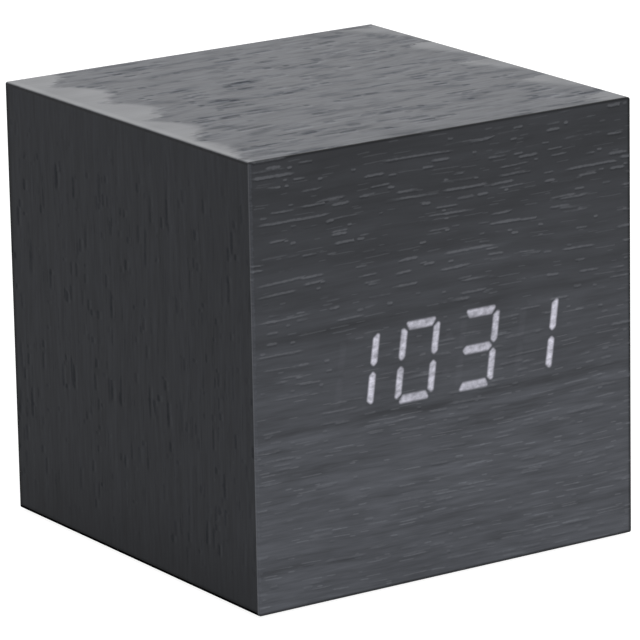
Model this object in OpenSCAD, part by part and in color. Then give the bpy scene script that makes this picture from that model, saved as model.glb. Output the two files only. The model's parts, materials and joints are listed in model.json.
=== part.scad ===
// Cube alarm clock: a veneered box with a seven-segment display that shines
// through the front veneer, and a moulded rear panel that carries the buttons,
// the power socket and the battery bay.
//
// Frame: origin on the surface that the clock stands on, under the middle of
// the case. X points to the viewer's right, Y from the front to the back and
// Z up. All sizes are in millimetres.

/* [Case] */
// Width of the veneered case
case_w = 80; // [72:1:110]
// Depth of the veneered case
case_d = 80; // [72:1:110]
// Height of the veneered case without its feet
case_h = 80; // [72:1:110]
// Thickness of the fibreboard panels
board_t = 6; // [4:0.5:7]
// Thickness of the veneer sheets
veneer_t = 0.6; // [0.5:0.1:1]
// Rounding of the sanded outer edges, less than the veneer's thickness
edge_r = 0.4; // [0.2:0.05:0.45]
// Legs of the triangular cleats glued into the rear corners
cleat_leg = 10; // [9:0.5:12]
// Length of the cleats
cleat_len = 14; // [11:1:20]

/* [Feet] */
// Diameter of the stick-on feet
foot_d = 9; // [6:0.5:12]
// Thickness of the stick-on feet
foot_t = 0.5; // [0.4:0.1:2]
// Distance from the case's sides to the middle of a foot
foot_inset = 9; // [8:0.5:16]

/* [Display] */
// The four numerals that are lit
shown = [1, 0, 3, 1];
// Height of a digit over its segments
digit_h = 14.2; // [12.5:0.1:15]
// Width of a digit over its segments
digit_w = 8.2; // [7:0.1:8.6]
// Lean of the digits in degrees
slant = 8; // [0:0.5:9]
// Width of a segment
seg_w = 1.35; // [1:0.05:1.6]
// Gap left at the mitred corners of a digit
mitre_gap = 0.45; // [0.3:0.05:0.6]
// Length cut off the outer tips of the segments
tip_cut = 0.35; // [0.2:0.05:0.5]
// Gap from the middle of a digit to the tips of its uprights
tip_gap = 0.4; // [0.3:0.05:0.6]
// Diameter of the two colon dots
colon_d = 1.6; // [1.2:0.1:2]
// Width of the display module, over which the digits are spread
module_w = 50.3; // [45:0.1:56]
// Wall left beside the outer digits
module_wall = 1; // [0.8:0.1:2]
// Height of the display module
module_h = 19; // [17:0.1:21]
// Depth of the display module
module_d = 8; // [7.2:0.1:10]
// Depth of the light bars in their cells
lens_t = 3; // [2:0.1:4]
// Diameter of the light well behind each bar
well_d = 1.3; // [1.2:0.05:1.5]
// Height of the display's carrier board
carrier_h = 34; // [30.5:0.5:38]

/* [Rear panel] */
// Depth of the panel's outer face below the case's rear edges
rear_recess = 1.5; // [1.2:0.1:4]
// Thickness of the panel
panel_t = 3; // [3:0.1:4]
// Gap between the panel and the case
panel_gap = 0.3; // [0.1:0.05:0.5]
// Depth of the stiffening rim inside the panel
rim_depth = 3; // [1:0.5:6]
// Wall of the battery bay, the rim and the button guides
wall_t = 1.5; // [1:0.1:1.8]
// Distance of the panel's screws from the case's inner faces
screw_inset = 3.6; // [3.2:0.1:3.8]

/* [Buttons and socket] */
// Diameter of the button caps
button_d = 6; // [5:0.1:6.4]
// Distance from one button to the next
button_pitch = 10.2; // [9.8:0.1:10.4]
// Height of the caps over the panel
button_rise = 1; // [0.6:0.1:1.1]
// How far a button travels when it is pressed
button_travel = 0.5; // [0.2:0.05:0.6]
// Width of the power socket's shell
socket_w = 7.5; // [7.4:0.1:8.4]
// Height of the power socket's shell
socket_h = 2.9; // [2.7:0.1:3.4]
// Distance from the panel's inner face to the control board
standoff = 6; // [5.8:0.1:7]
// Width of the control board
control_w = 50.4; // [50:0.1:51.6]
// Height of the control board
control_h = 14; // [13.6:0.1:16]

/* [Battery bay] */
// Diameter of a cell
cell_d = 10.5; // [9.8:0.1:10.8]
// Length of a cell over its button
cell_l = 44.5; // [43:0.1:45.5]
// Gap between two cells
cell_gap = 0.6; // [0.3:0.1:1]
// Room left round the cells in the bay
cell_room = 0.4; // [0.3:0.05:0.6]
// Length of a contact spring with its cell in place
spring_l = 4.4; // [4:0.1:5]
// Wire of the contact springs
spring_wire = 0.5; // [0.4:0.05:0.55]
// Thickness of the contact plates
plate_t = 0.4; // [0.3:0.05:0.6]
// Step that the door closes against
door_ledge = 1.2; // [0.8:0.1:1.4]
// Depth of the door over its rim
door_t = 2.6; // [2.2:0.1:2.7]
// Thickness of the door's skin
door_skin = 1.4; // [1:0.1:1.8]
// Gap round the door
door_gap = 0.3; // [0.2:0.05:0.4]
// Diameter of the door's hinge pins
hinge_d = 1.6; // [1.2:0.1:1.7]
// Width of the door's latch tongue
latch_w = 10; // [8:0.5:14]

/* [Hidden] */
$fn = 48;

// Clearances: parts that drop in, parts that slide, parts that only just miss
fit = 0.2;
slide_fit = 0.08;
hair = 0.05;
// Overrun of a cutter past the face that it cuts
over = 1;

// Case faces and the clear space inside the boards
skin_t = board_t + veneer_t;
base_z = foot_t;
top_z = base_z + case_h;
front_y = -case_d / 2;
rear_y = case_d / 2;
side_x = case_w / 2;
in_x = side_x - skin_t;
in_z0 = base_z + skin_t;
in_z1 = top_z - skin_t;
in_y0 = front_y + skin_t;
mid_z = (base_z + top_z) / 2;

// Display stack, from the veneer backwards
module_y0 = front_y + veneer_t;
module_y1 = module_y0 + module_d;
digit_count = 4;
digit_lean = digit_h * tan(slant);
digit_pitch = (module_w - 2 * module_wall - digit_w - digit_lean) / (digit_count - 1);
bar_x = (digit_w - seg_w) / 2;
bar_z = (digit_h - seg_w) / 2;
lens_fit = 0.04;
colon_z = bar_z / 2;
led_board_t = 1;
led_board_rim = 1;
led_board_inset = 0.2;
chip_size = [0.8, 0.5, 0.5];
carrier_t = 1.6;
carrier_y1 = module_y1 + carrier_t;
pin_d = 0.5;
pin_inset = 1.88;
pin_rows = module_h - 2 * pin_inset;
pin_pitch = 2.54;
pin_count = 6;
pin_tail = 1.5;
spacer_d = 4.6;
spacer_bore = 2.6;
carrier_screw_x = module_w / 2 - spacer_d;
carrier_screw_z = module_h / 2 + spacer_d / 2 + 2 * fit;
carrier_margin = 0.8;
carrier_w = module_w + 2 * carrier_margin;
carrier_r = 1;
small_screw_d = 2.2;
small_head_d = 4.2;
small_head_t = 1.6;
connector_size = [13, 6, 5];
connector_edge = 0.6;
connector_z = mid_z + carrier_h / 2 - connector_size[2] / 2 - connector_edge;

// Rear panel
panel_y1 = rear_y - rear_recess;
panel_y0 = panel_y1 - panel_t;
panel_x = in_x - panel_gap;
panel_z0 = in_z0 + panel_gap;
panel_z1 = in_z1 - panel_gap;
panel_r = 1;
panel_screw_d = 2.4;
panel_head_d = 4.4;
panel_head_t = 1.5;
panel_screw_l = 9;

// Battery bay: three cells side by side, lying across the case
cell_count = 3;
cell_pitch = cell_d + cell_gap;
bay_x = (2 * plate_t + spring_l + cell_l + hair + fit) / 2;
bay_h = cell_count * cell_d + (cell_count - 1) * cell_gap + 2 * cell_room;
bay_out_x = bay_x + wall_t;
bay_corner = cleat_leg + 2 * fit - (in_x - bay_out_x);
bay_z0 = in_z0 + max(bay_corner, panel_gap + wall_t + door_ledge) + wall_t;
bay_z1 = bay_z0 + bay_h;
mouth_depth = door_t + fit;
mouth_x = bay_x + door_ledge;
mouth_z0 = bay_z0 - door_ledge;
mouth_z1 = bay_z1 + door_ledge;
bay_y1 = panel_y1 - mouth_depth;
bay_y0 = bay_y1 - cell_d - 2 * cell_room;
floor_y0 = bay_y0 - wall_t;
cell_y = bay_y1 - cell_room - cell_d / 2;
cradle_t = 2;
cradle_x = cell_l / 4;
cradle_rise = cell_d / 3;
cell_lip = 0.3;
nub_d = 3.6;
nub_l = 0.9;
plate_w = 8;
tab_w = 2.5;
tab_l = 2.5;
spring_r0 = 3.2;
spring_r1 = 1.9;
spring_turns = 4;
rings_per_turn = 8;
wire_sides = 6;
lead_d = 1.2;
lead_bend = 2.5;

// Battery door
door_x = mouth_x - door_gap;
door_z0 = mouth_z0 + door_gap;
door_z1 = mouth_z1 - door_gap;
bead_r = door_t / 2;
hinge_y = panel_y1 - bead_r;
hinge_z = door_z0 + bead_r;
hinge_l = 1.2;
door_rim = 1.4;
latch_slit = 0.8;
latch_l = 10;
nib_rise = door_gap - 0.1;
nib_y = 0.6;
catch_depth = 0.6;
grip_r = 0.35;
grip_pitch = 1.5;
grip_count = 3;
scoop_r = 7;
scoop_depth = 1;

// Control board and what stands on it
control_t = 1.6;
control_r = 1;
part_edge = 0.4;
control_drop = max(0, cleat_leg + 2 * fit - (in_x - control_w / 2));
control_z = min((mouth_z1 + panel_z1) / 2, in_z1 - control_drop - control_h / 2);
control_y1 = panel_y0 - standoff;
control_y0 = control_y1 - control_t;
button_count = 3;
socket_step = 9.7;
row_shift = 0.55;
row_w = (button_count - 1) * button_pitch + socket_step;
button_x0 = row_shift - row_w / 2;
cap_edge = 0.5;
flange_d = button_d + 2.2;
flange_t = 1;
guide_h = 2.5;
guide_wall = 0.75;
switch_w = 6;
switch_h = 3.5;
plunger_d = 3.5;
post_l = 0.35;
post_d = 4.1;
plunger_rise = standoff - hair - flange_t - post_l - switch_h;
plunger_sunk = 0.9;
boss_d = 5;
boss_x = control_w / 2 - boss_d / 2;
boss_z = control_z - control_h / 2 + boss_d / 2 + part_edge;
socket_x = button_x0 + row_w;
socket_wall = 0.3;
socket_recess = [11, 7, 1.6];
socket_recess_r = 1.5;
socket_r = 0.6;
tongue_size = [3.8, 5, 0.7];
socket_base = 1.5;
mic_d = 5;
mic_gap = 0.8;
mic_h = standoff - mic_gap;
mic_x = control_w / 2 - mic_d / 2 - part_edge;
mic_z = control_z + control_h / 2 - mic_d / 2 - part_edge;
mic_hole_d = 1.6;
buzzer_d = 12;
buzzer_h = 8.5;
buzzer_x = -14.5;
buzzer_hole_d = 2;
chip_w = 9.9;
chip_h = 3.9;
chip_t = 1.6;
chip_x = 14;
crystal_w = 8;
crystal_h = 3.8;
crystal_t = 2.5;
crystal_r = 1.2;
capacitor_d = 5;
capacitor_h = 7;
capacitor_x = [-2.6, 3];
capacitor_z = control_z - control_h / 2 + capacitor_d / 2 + part_edge;
header_z = control_z + control_h / 2 - connector_size[2] / 2 - part_edge;
ribbon_t = 0.9;
ribbon_w = 10;
ribbon_steps = 24;
lead_x = bay_x - plate_t - hair - lead_d / 2;
lead_y = floor_y0 - tab_l / 2;
lead_rise = 1.3;
lead_z = control_z + lead_rise;

// Segments a to g that are lit for each numeral
LIT = [
    [1, 1, 1, 1, 1, 1, 0],
    [0, 1, 1, 0, 0, 0, 0],
    [1, 1, 0, 1, 1, 0, 1],
    [1, 1, 1, 1, 0, 0, 1],
    [0, 1, 1, 0, 0, 1, 1],
    [1, 0, 1, 1, 0, 1, 1],
    [1, 0, 1, 1, 1, 1, 1],
    [1, 1, 1, 0, 0, 0, 0],
    [1, 1, 1, 1, 1, 1, 1],
    [1, 1, 1, 1, 0, 1, 1]
];

// Colours
VENEER = "#3d3e42";
BOARD = "#4a3f35";
BLACK_PLASTIC = "#232427";
BUTTON_PLASTIC = "#3a3c40";
HOUSING_BLACK = "#18181a";
GLOW = "#e6e8f5";
SMOKED = "#5c5d63";
BOARD_GREEN = "#1f5b3a";
STEEL = "#b9bcc0";
TIN = "#d5d6d2";
BRASS_TINT = "#c9b46a";

// Shared shapes

// A box between two opposite corners
module block(low, high) {
    translate(low) cube(high - low);
}

// A flat shape in X and Z, made solid from y0 to y1
module along_y(y0, y1) {
    translate([0, y1, 0]) rotate([90, 0, 0]) linear_extrude(y1 - y0) children();
}

// A flat shape in Y and Z, made solid from x0 to x1
module along_x(x0, x1) {
    translate([x0, 0, 0]) rotate([90, 0, 90]) linear_extrude(x1 - x0) children();
}

// A rectangle with round corners, centred
module rounded(w, h, r) {
    square([w - 2 * r, h], center = true);
    square([w, h - 2 * r], center = true);
    for (x = [-1, 1], y = [-1, 1])
        translate([x * (w / 2 - r), y * (h / 2 - r)]) circle(r);
}

// A round rod along Y
module rod_y(x, z, y0, y1, d) {
    translate([x, y1, z]) rotate([90, 0, 0]) cylinder(d = d, h = y1 - y0);
}

// A round rod along X
module rod_x(y, z, x0, x1, d) {
    translate([x0, y, z]) rotate([0, 90, 0]) cylinder(d = d, h = x1 - x0);
}

// A pan-head screw along Y. dir is 1 when its head faces the rear and -1 when it faces the front.
module screw_y(x, z, seat_y, dir, shank_l, shank_d, head_d, head_t) {
    slot_w = head_d * 0.18;
    slot_l = head_d * 0.6;
    slot_deep = head_t * 0.6;
    translate([x, seat_y, z]) rotate([dir > 0 ? -90 : 90, 0, 0])
        difference() {
            union() {
                cylinder(d = head_d, h = head_t);
                translate([0, 0, -shank_l]) cylinder(d = shank_d, h = shank_l);
            }
            for (turn = [0, 90]) rotate(turn)
                translate([-slot_l / 2, -slot_w / 2, head_t - slot_deep]) cube([slot_l, slot_w, head_t]);
        }
}

// Places its children at the four corners of a rectangle in X and Z
module at_corners(x, z0, z1) {
    for (sx = [-1, 1], z = [z0, z1]) translate([sx * x, 0, z]) children();
}

// Case

// The whole case with its sanded edges
module envelope() {
    intersection() {
        translate([0, 0, mid_z]) rotate([90, 0, 0]) translate([0, 0, -case_d / 2])
            linear_extrude(case_d) rounded(case_w, case_h, edge_r);
        translate([0, 0, base_z]) linear_extrude(case_h)
            union() {
                translate([-side_x, front_y + edge_r]) square([case_w, case_d - edge_r]);
                translate([-side_x + edge_r, front_y]) square([case_w - 2 * edge_r, 2 * edge_r]);
                for (s = [-1, 1]) translate([s * (side_x - edge_r), front_y + edge_r]) circle(edge_r);
            }
        along_x(-side_x, side_x)
            union() {
                translate([front_y + edge_r, base_z]) square([case_d - edge_r, case_h]);
                translate([front_y, base_z + edge_r]) square([2 * edge_r, case_h - 2 * edge_r]);
                for (z = [base_z + edge_r, top_z - edge_r]) translate([front_y + edge_r, z]) circle(edge_r);
            }
    }
}

// One of the four boards that are mitred into a tube, lying along the edge of half-length reach
module mitred_board(reach) {
    along_y(module_y0, rear_y)
        polygon([[-reach, 0], [reach, 0], [reach - board_t, board_t], [-reach + board_t, board_t]]);
}

module top_board() {
    color(BOARD) translate([0, 0, top_z - veneer_t]) mirror([0, 0, 1]) mitred_board(side_x - veneer_t);
}

module bottom_board() {
    color(BOARD) translate([0, 0, base_z + veneer_t]) mitred_board(side_x - veneer_t);
}

module side_board(s) {
    color(BOARD) translate([s * (side_x - veneer_t), 0, mid_z]) rotate([0, -s * 90, 0])
        mitred_board(case_h / 2 - veneer_t);
}

// The front board closes the tube and frames the display
module front_board() {
    color(BOARD) difference() {
        block([-in_x, module_y0, in_z0], [in_x, in_y0, in_z1]);
        translate([0, 0, mid_z]) along_y(module_y0 - over, in_y0 + over)
            square([module_w + 2 * fit, module_h + 2 * fit], center = true);
        at_corners(carrier_screw_x, mid_z - carrier_screw_z, mid_z + carrier_screw_z)
            rod_y(0, 0, in_y0 - board_t + over, in_y0 + over, small_screw_d + 2 * slide_fit);
    }
}

module front_veneer() {
    color(VENEER) intersection() {
        envelope();
        block([-side_x, front_y, base_z], [side_x, module_y0, top_z]);
    }
}

module top_veneer() {
    color(VENEER) intersection() {
        envelope();
        block([-side_x, module_y0, top_z - veneer_t], [side_x, rear_y, top_z]);
    }
}

module bottom_veneer() {
    color(VENEER) intersection() {
        envelope();
        block([-side_x, module_y0, base_z], [side_x, rear_y, base_z + veneer_t]);
    }
}

module side_veneer(s) {
    color(VENEER) translate([s * (side_x - veneer_t / 2), 0, mid_z])
        block([-veneer_t / 2, module_y0, -case_h / 2 + veneer_t],
            [veneer_t / 2, rear_y, case_h / 2 - veneer_t]);
}

// Triangular blocks in the rear corners, which take the rear panel's screws
module corner_cleats() {
    color(BOARD) for (sx = [0, 1], sz = [0, 1])
        translate([0, 0, mid_z]) mirror([sx, 0, 0]) mirror([0, 0, sz]) translate([in_x, 0, in_z1 - mid_z])
            difference() {
                along_y(panel_y0 - cleat_len, panel_y0)
                    polygon([[0, 0], [-cleat_leg, 0], [0, -cleat_leg]]);
                rod_y(-screw_inset, -screw_inset, panel_y0 - panel_screw_l, panel_y0 + over,
                    panel_screw_d + 2 * slide_fit);
            }
}

module feet() {
    color("#1b1b1c") for (sx = [-1, 1], sy = [-1, 1])
        translate([sx * (side_x - foot_inset), sy * (rear_y - foot_inset), 0])
            cylinder(d = foot_d, h = foot_t);
}

// Display

// A point of an upright digit, leaned over
function leaned(p) = [p[0] + p[1] * tan(slant), p[1]];

// Corners of one of the four uprights. side is 1 for right, up is 1 for upper, grow widens it all round.
function upright(side, up, grow) =
    let (s = seg_w / 2 + grow, tip = tip_gap - grow * sqrt(2), cut = tip_cut - grow, gap = mitre_gap - grow)
    [
        [side * bar_x, up * tip],
        [side * (bar_x + s), up * (tip_gap + seg_w / 2)],
        [side * (bar_x + s), up * (bar_z - cut)],
        [side * (bar_x - s), up * (bar_z - seg_w / 2 - gap)],
        [side * (bar_x - s), up * (tip_gap + seg_w / 2)]
    ];

// Corners of the top bar, or of the bottom bar when up is -1
function outer_bar(up, grow) =
    let (s = seg_w / 2 + grow, cut = tip_cut - grow, gap = mitre_gap - grow)
    [
        [-(bar_x - cut), up * (bar_z + s)],
        [bar_x - cut, up * (bar_z + s)],
        [bar_x - seg_w / 2 - gap, up * (bar_z - s)],
        [-(bar_x - seg_w / 2 - gap), up * (bar_z - s)]
    ];

// Corners of the middle bar
function middle_bar(grow) =
    let (s = seg_w / 2 + grow, tip = bar_x - tip_gap + grow, shoulder = bar_x - seg_w / 2 - tip_gap + grow)
    [[-tip, 0], [-shoulder, s], [shoulder, s], [tip, 0], [shoulder, -s], [-shoulder, -s]];

// Corners of segment i, where 0 to 6 are a to g
function segment_corners(i, grow) =
    i == 0 ? outer_bar(1, grow) :
    i == 1 ? upright(1, 1, grow) :
    i == 2 ? upright(1, -1, grow) :
    i == 3 ? outer_bar(-1, grow) :
    i == 4 ? upright(-1, -1, grow) :
    i == 5 ? upright(-1, 1, grow) :
    middle_bar(grow);

// Middle of segment i, where its light well is
function segment_middle(i) =
    i == 0 ? [0, bar_z] :
    i == 3 ? [0, -bar_z] :
    i == 6 ? [0, 0] :
    [(i < 3 ? 1 : -1) * bar_x, (i == 1 || i == 5 ? 1 : -1) * bar_z / 2];

function digit_x(d) = (d - (digit_count - 1) / 2) * digit_pitch;

module segment(d, i, grow) {
    translate([digit_x(d), mid_z]) polygon([for (p = segment_corners(i, grow)) leaned(p)]);
}

module colon_dots(grow) {
    for (up = [-1, 1]) translate([0, mid_z] + leaned([0, up * colon_z])) circle(d = colon_d + 2 * grow);
}

// Middles of all light wells, colon included
function wells() = concat(
    [for (d = [0:digit_count - 1], i = [0:6]) [digit_x(d), mid_z] + leaned(segment_middle(i))],
    [for (up = [-1, 1]) [0, mid_z] + leaned([0, up * colon_z])]
);

// The reflector: a cell for each light bar, narrowing to a light well
module display_housing() {
    pocket_y = module_y1 - led_board_t - led_board_inset;
    color(HOUSING_BLACK) difference() {
        translate([0, 0, mid_z]) along_y(module_y0, module_y1) square([module_w, module_h], center = true);
        along_y(module_y0 - over, module_y0 + lens_t) {
            for (d = [0:digit_count - 1], i = [0:6]) segment(d, i, lens_fit);
            colon_dots(lens_fit);
        }
        for (w = wells()) rod_y(w[0], w[1], module_y0 + lens_t / 2, module_y1, well_d);
        translate([0, 0, mid_z]) along_y(pocket_y, module_y1 + over)
            square([module_w - 2 * led_board_rim, module_h - 2 * led_board_rim], center = true);
    }
}

module light_bars(lit) {
    for (d = [0:digit_count - 1], i = [0:6])
        if (LIT[shown[d]][i] == lit) along_y(module_y0, module_y0 + lens_t) segment(d, i, 0);
}

module lit_segments() {
    color(GLOW) light_bars(1);
}

module dark_segments() {
    color(SMOKED) {
        light_bars(0);
        along_y(module_y0, module_y0 + lens_t) colon_dots(0);
    }
}

module led_board() {
    front = module_y1 - led_board_t - led_board_inset;
    color(BOARD_GREEN) translate([0, 0, mid_z]) along_y(front, front + led_board_t)
        square([module_w - 2 * led_board_rim - fit, module_h - 2 * led_board_rim - fit], center = true);
}

module led_chips() {
    seat = module_y1 - led_board_t - led_board_inset;
    color(BRASS_TINT) for (w = wells())
        translate([w[0] - chip_size[0] / 2, seat - chip_size[1], w[1] - chip_size[2] / 2]) cube(chip_size);
}

// Places its children at the display's soldered pins
module at_pins() {
    for (i = [0:pin_count - 1], up = [-1, 1])
        translate([(i - (pin_count - 1) / 2) * pin_pitch, 0, mid_z + up * pin_rows / 2]) children();
}

module display_pins() {
    color(TIN) at_pins() rod_y(0, 0, module_y1 - led_board_inset, carrier_y1 + pin_tail, pin_d);
}

module display_board() {
    color(BOARD_GREEN) difference() {
        translate([0, 0, mid_z]) along_y(module_y1, carrier_y1) rounded(carrier_w, carrier_h, carrier_r);
        at_pins() rod_y(0, 0, module_y1 - over, carrier_y1 + over, pin_d + 2 * fit);
        at_corners(carrier_screw_x, mid_z - carrier_screw_z, mid_z + carrier_screw_z)
            rod_y(0, 0, module_y1 - over, carrier_y1 + over, spacer_bore);
    }
}

module display_spacers() {
    color("#d8d8d2") at_corners(carrier_screw_x, mid_z - carrier_screw_z, mid_z + carrier_screw_z)
        difference() {
            rod_y(0, 0, in_y0, module_y1, spacer_d);
            rod_y(0, 0, in_y0 - over, module_y1 + over, spacer_bore);
        }
}

module display_screws() {
    shank = carrier_y1 - in_y0 + board_t - 2 * over;
    color(STEEL) at_corners(carrier_screw_x, mid_z - carrier_screw_z, mid_z + carrier_screw_z)
        screw_y(0, 0, carrier_y1, 1, shank, small_screw_d, small_head_d, small_head_t);
}

// A ribbon connector with a polarising notch, standing out from a board
module connector_body(z, y0, y1) {
    notch = connector_size[2] / 4;
    difference() {
        block([-connector_size[0] / 2, y0, z - connector_size[2] / 2],
            [connector_size[0] / 2, y1, z + connector_size[2] / 2]);
        block([-notch, y0 - over, z + connector_size[2] / 2 - notch / 2],
            [notch, y1 + over, z + connector_size[2] / 2 + over]);
    }
}

module display_connector() {
    color("#dcdcd6") connector_body(connector_z, carrier_y1, carrier_y1 + connector_size[1]);
}

module ribbon_header() {
    color("#dcdcd6") connector_body(header_z, control_y0 - connector_size[1], control_y0);
}

// The ribbon climbs from one connector to the other in one smooth double bend
module ribbon_cable() {
    y0 = carrier_y1 + connector_size[1];
    y1 = control_y0 - connector_size[1];
    climb = header_z - connector_z;
    middle = [
        for (k = [0:ribbon_steps])
            let (t = k / ribbon_steps)
            [y0 + t * (y1 - y0), connector_z + climb * (1 - cos(180 * t)) / 2]
    ];
    across = [
        for (k = [0:ribbon_steps])
            let (lean = atan(climb * PI * sin(180 * k / ribbon_steps) / (2 * (y1 - y0))))
            ribbon_t / 2 * [-sin(lean), cos(lean)]
    ];
    color("#8f9196") along_x(-ribbon_w / 2, ribbon_w / 2)
        polygon(concat(
            [for (k = [0:ribbon_steps]) middle[k] - across[k]],
            [for (k = [ribbon_steps:-1:0]) middle[k] + across[k]]
        ));
}

// Rear panel

function button_x(i) = button_x0 + i * button_pitch;
function cell_z(i) = bay_z0 + cell_room + cell_d / 2 + i * cell_pitch;

// 1 when cell i has its button at the right, and -1 when it has it at the left
function cell_way(i) = i % 2 == 0 ? 1 : -1;

// Panel plate with the mouth of the bay and its hinge sockets cut away later
module panel_plate() {
    w = 2 * panel_x;
    h = panel_z1 - panel_z0;
    rim_x = panel_x - cleat_leg - over;
    rim_z = h / 2 - cleat_leg - over;
    mid = (panel_z0 + panel_z1) / 2;
    translate([0, 0, mid]) {
        along_y(panel_y0, panel_y1) rounded(w, h, panel_r);
        for (s = [-1, 1]) {
            along_y(panel_y0 - rim_depth, panel_y0)
                translate([s * (panel_x - wall_t / 2), 0]) square([wall_t, 2 * rim_z], center = true);
            along_y(panel_y0 - rim_depth, panel_y0)
                translate([0, s * (h / 2 - wall_t / 2)]) square([2 * rim_x, wall_t], center = true);
        }
    }
}

// Ribs on the bay's floor that the cells lie in
module cradles() {
    for (s = [-1, 1]) difference() {
        block([s * cradle_x - cradle_t / 2, bay_y0 - hair, bay_z0 - hair],
            [s * cradle_x + cradle_t / 2, bay_y0 + cradle_rise, bay_z1 + hair]);
        for (i = [0:cell_count - 1])
            rod_x(cell_y, cell_z(i), s * cradle_x - cradle_t, s * cradle_x + cradle_t, cell_d + 2 * fit);
    }
}

// Slots in the bay's floor for the two soldering tabs
module tab_slots() {
    for (s = [-1, 1]) {
        z = s > 0 ? cell_z(cell_count - 1) : cell_z(0);
        x = s > 0 ? bay_x - plate_t - fit : -bay_x;
        block([x, floor_y0 - over, z - tab_w / 2 - fit],
            [x + plate_t + fit, bay_y0 + over, z + tab_w / 2 + fit]);
    }
}

module rear_panel() {
    guide_d = flange_d + 2 * fit;
    color(BLACK_PLASTIC) difference() {
        union() {
            panel_plate();
            block([-bay_out_x, floor_y0, bay_z0 - wall_t], [bay_out_x, panel_y0 + hair, bay_z1 + wall_t]);
            for (i = [0:button_count - 1])
                rod_y(button_x(i), control_z, panel_y0 - guide_h, panel_y0, guide_d + 2 * guide_wall);
            for (s = [-1, 1]) rod_y(s * boss_x, boss_z, control_y1, panel_y0, boss_d);
        }
        difference() {
            block([-bay_x, bay_y0, bay_z0], [bay_x, panel_y1 + over, bay_z1]);
            cradles();
        }
        block([-mouth_x, bay_y1, mouth_z0], [mouth_x, panel_y1 + over, mouth_z1]);
        for (s = [0, 1]) mirror([s, 0, 0])
            rod_x(hinge_y, hinge_z, mouth_x - over, door_x + hinge_l + fit, hinge_d + 2 * slide_fit);
        block([-latch_w / 2, bay_y1, mouth_z1 - over],
            [latch_w / 2, bay_y1 + 2 * nib_y, mouth_z1 + catch_depth]);
        rod_y(0, mouth_z1, panel_y1 - scoop_depth, panel_y1 + over, 2 * scoop_r);
        tab_slots();
        for (i = [0:button_count - 1]) {
            rod_y(button_x(i), control_z, panel_y0 - over, panel_y1 + over, button_d + 2 * fit);
            rod_y(button_x(i), control_z, panel_y0 - guide_h - over, panel_y0, guide_d);
        }
        translate([socket_x, 0, control_z]) {
            along_y(panel_y0 - over, panel_y1 + over)
                rounded(socket_w + 2 * fit, socket_h + 2 * fit, socket_r);
            along_y(panel_y1 - socket_recess[2], panel_y1 + over)
                rounded(socket_recess[0], socket_recess[1], socket_recess_r);
        }
        rod_y(mic_x, mic_z, panel_y0 - over, panel_y1 + over, mic_hole_d);
        for (s = [-1, 1])
            rod_y(s * boss_x, boss_z, control_y1 - over, panel_y0, small_screw_d + 2 * slide_fit);
        at_corners(in_x - screw_inset, in_z0 + screw_inset, in_z1 - screw_inset) {
            rod_y(0, 0, panel_y0 - over, panel_y1 + over, panel_screw_d + 2 * fit);
            rod_y(0, 0, panel_y1 - panel_head_t - fit, panel_y1 + over, panel_head_d + 2 * fit);
        }
    }
}

module rear_panel_screws() {
    seat = panel_y1 - panel_head_t - fit;
    shank = seat - panel_y0 + panel_screw_l - over;
    color("#2b2c2f") at_corners(in_x - screw_inset, in_z0 + screw_inset, in_z1 - screw_inset)
        screw_y(0, 0, seat, 1, shank, panel_screw_d, panel_head_d, panel_head_t);
}

// Buttons and control board

// A cap with a rounded edge, its retaining flange and the post that meets the switch
module button(i) {
    top = panel_y1 + button_rise;
    flange_y = panel_y0 - hair;
    post_y = flange_y - flange_t - post_l;
    r = button_d / 2;
    color(BUTTON_PLASTIC) translate([button_x(i), 0, control_z]) rotate([-90, 0, 0]) rotate_extrude() {
        translate([0, flange_y - flange_t]) square([flange_d / 2, flange_t]);
        translate([0, flange_y - hair]) square([r, top - cap_edge - flange_y + hair]);
        translate([0, top - 2 * cap_edge]) square([r - cap_edge, 2 * cap_edge]);
        intersection() {
            translate([r - cap_edge, top - cap_edge]) circle(cap_edge);
            translate([0, top - cap_edge]) square([r, cap_edge]);
        }
        translate([0, post_y]) square([post_d / 2, flange_y - post_y]);
    }
}

module switch_plunger(i) {
    seat = control_y1 + switch_h;
    color("#4d4f55") rod_y(button_x(i), control_z, seat - plunger_sunk, seat + plunger_rise, plunger_d);
}

module switch_housings() {
    seat = control_y1 + switch_h;
    well = plunger_sunk + button_travel + fit;
    color("#2a2b2e") for (i = [0:button_count - 1]) difference() {
        translate([button_x(i), 0, control_z]) along_y(control_y1, seat) rounded(switch_w, switch_w, 0.6);
        rod_y(button_x(i), control_z, seat - well, seat + over, plunger_d + 2 * slide_fit);
    }
}

module control_board() {
    color(BOARD_GREEN) difference() {
        translate([0, 0, control_z]) along_y(control_y0, control_y1) rounded(control_w, control_h, control_r);
        for (s = [-1, 1])
            rod_y(s * boss_x, boss_z, control_y0 - over, control_y1 + over, small_screw_d + 2 * fit);
    }
}

module control_board_screws() {
    shank = control_t + standoff - over;
    color(STEEL) for (s = [-1, 1])
        screw_y(s * boss_x, boss_z, control_y0, -1, shank, small_screw_d, small_head_d, small_head_t);
}

// The shell's outline: flat on top, with its lower corners cut away
module socket_outline(inset) {
    w = socket_w / 2 - inset;
    h = socket_h / 2 - inset;
    cut = socket_h * 0.35;
    polygon([[-w, h], [w, h], [w, -h + cut], [w - cut, -h], [-w + cut, -h], [-w, -h + cut]]);
}

module power_socket_shell() {
    mouth = panel_y1 - socket_recess[2];
    color(STEEL) translate([socket_x, 0, control_z]) difference() {
        along_y(control_y1, mouth) socket_outline(0);
        along_y(control_y1 + socket_base, mouth + over) socket_outline(socket_wall);
    }
}

module power_socket_tongue() {
    seat = control_y1 + socket_base;
    tongue_z = control_z + socket_h / 8 - tongue_size[2] / 2;
    color("#141415") translate([socket_x - tongue_size[0] / 2, seat, tongue_z]) cube(tongue_size);
}

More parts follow.
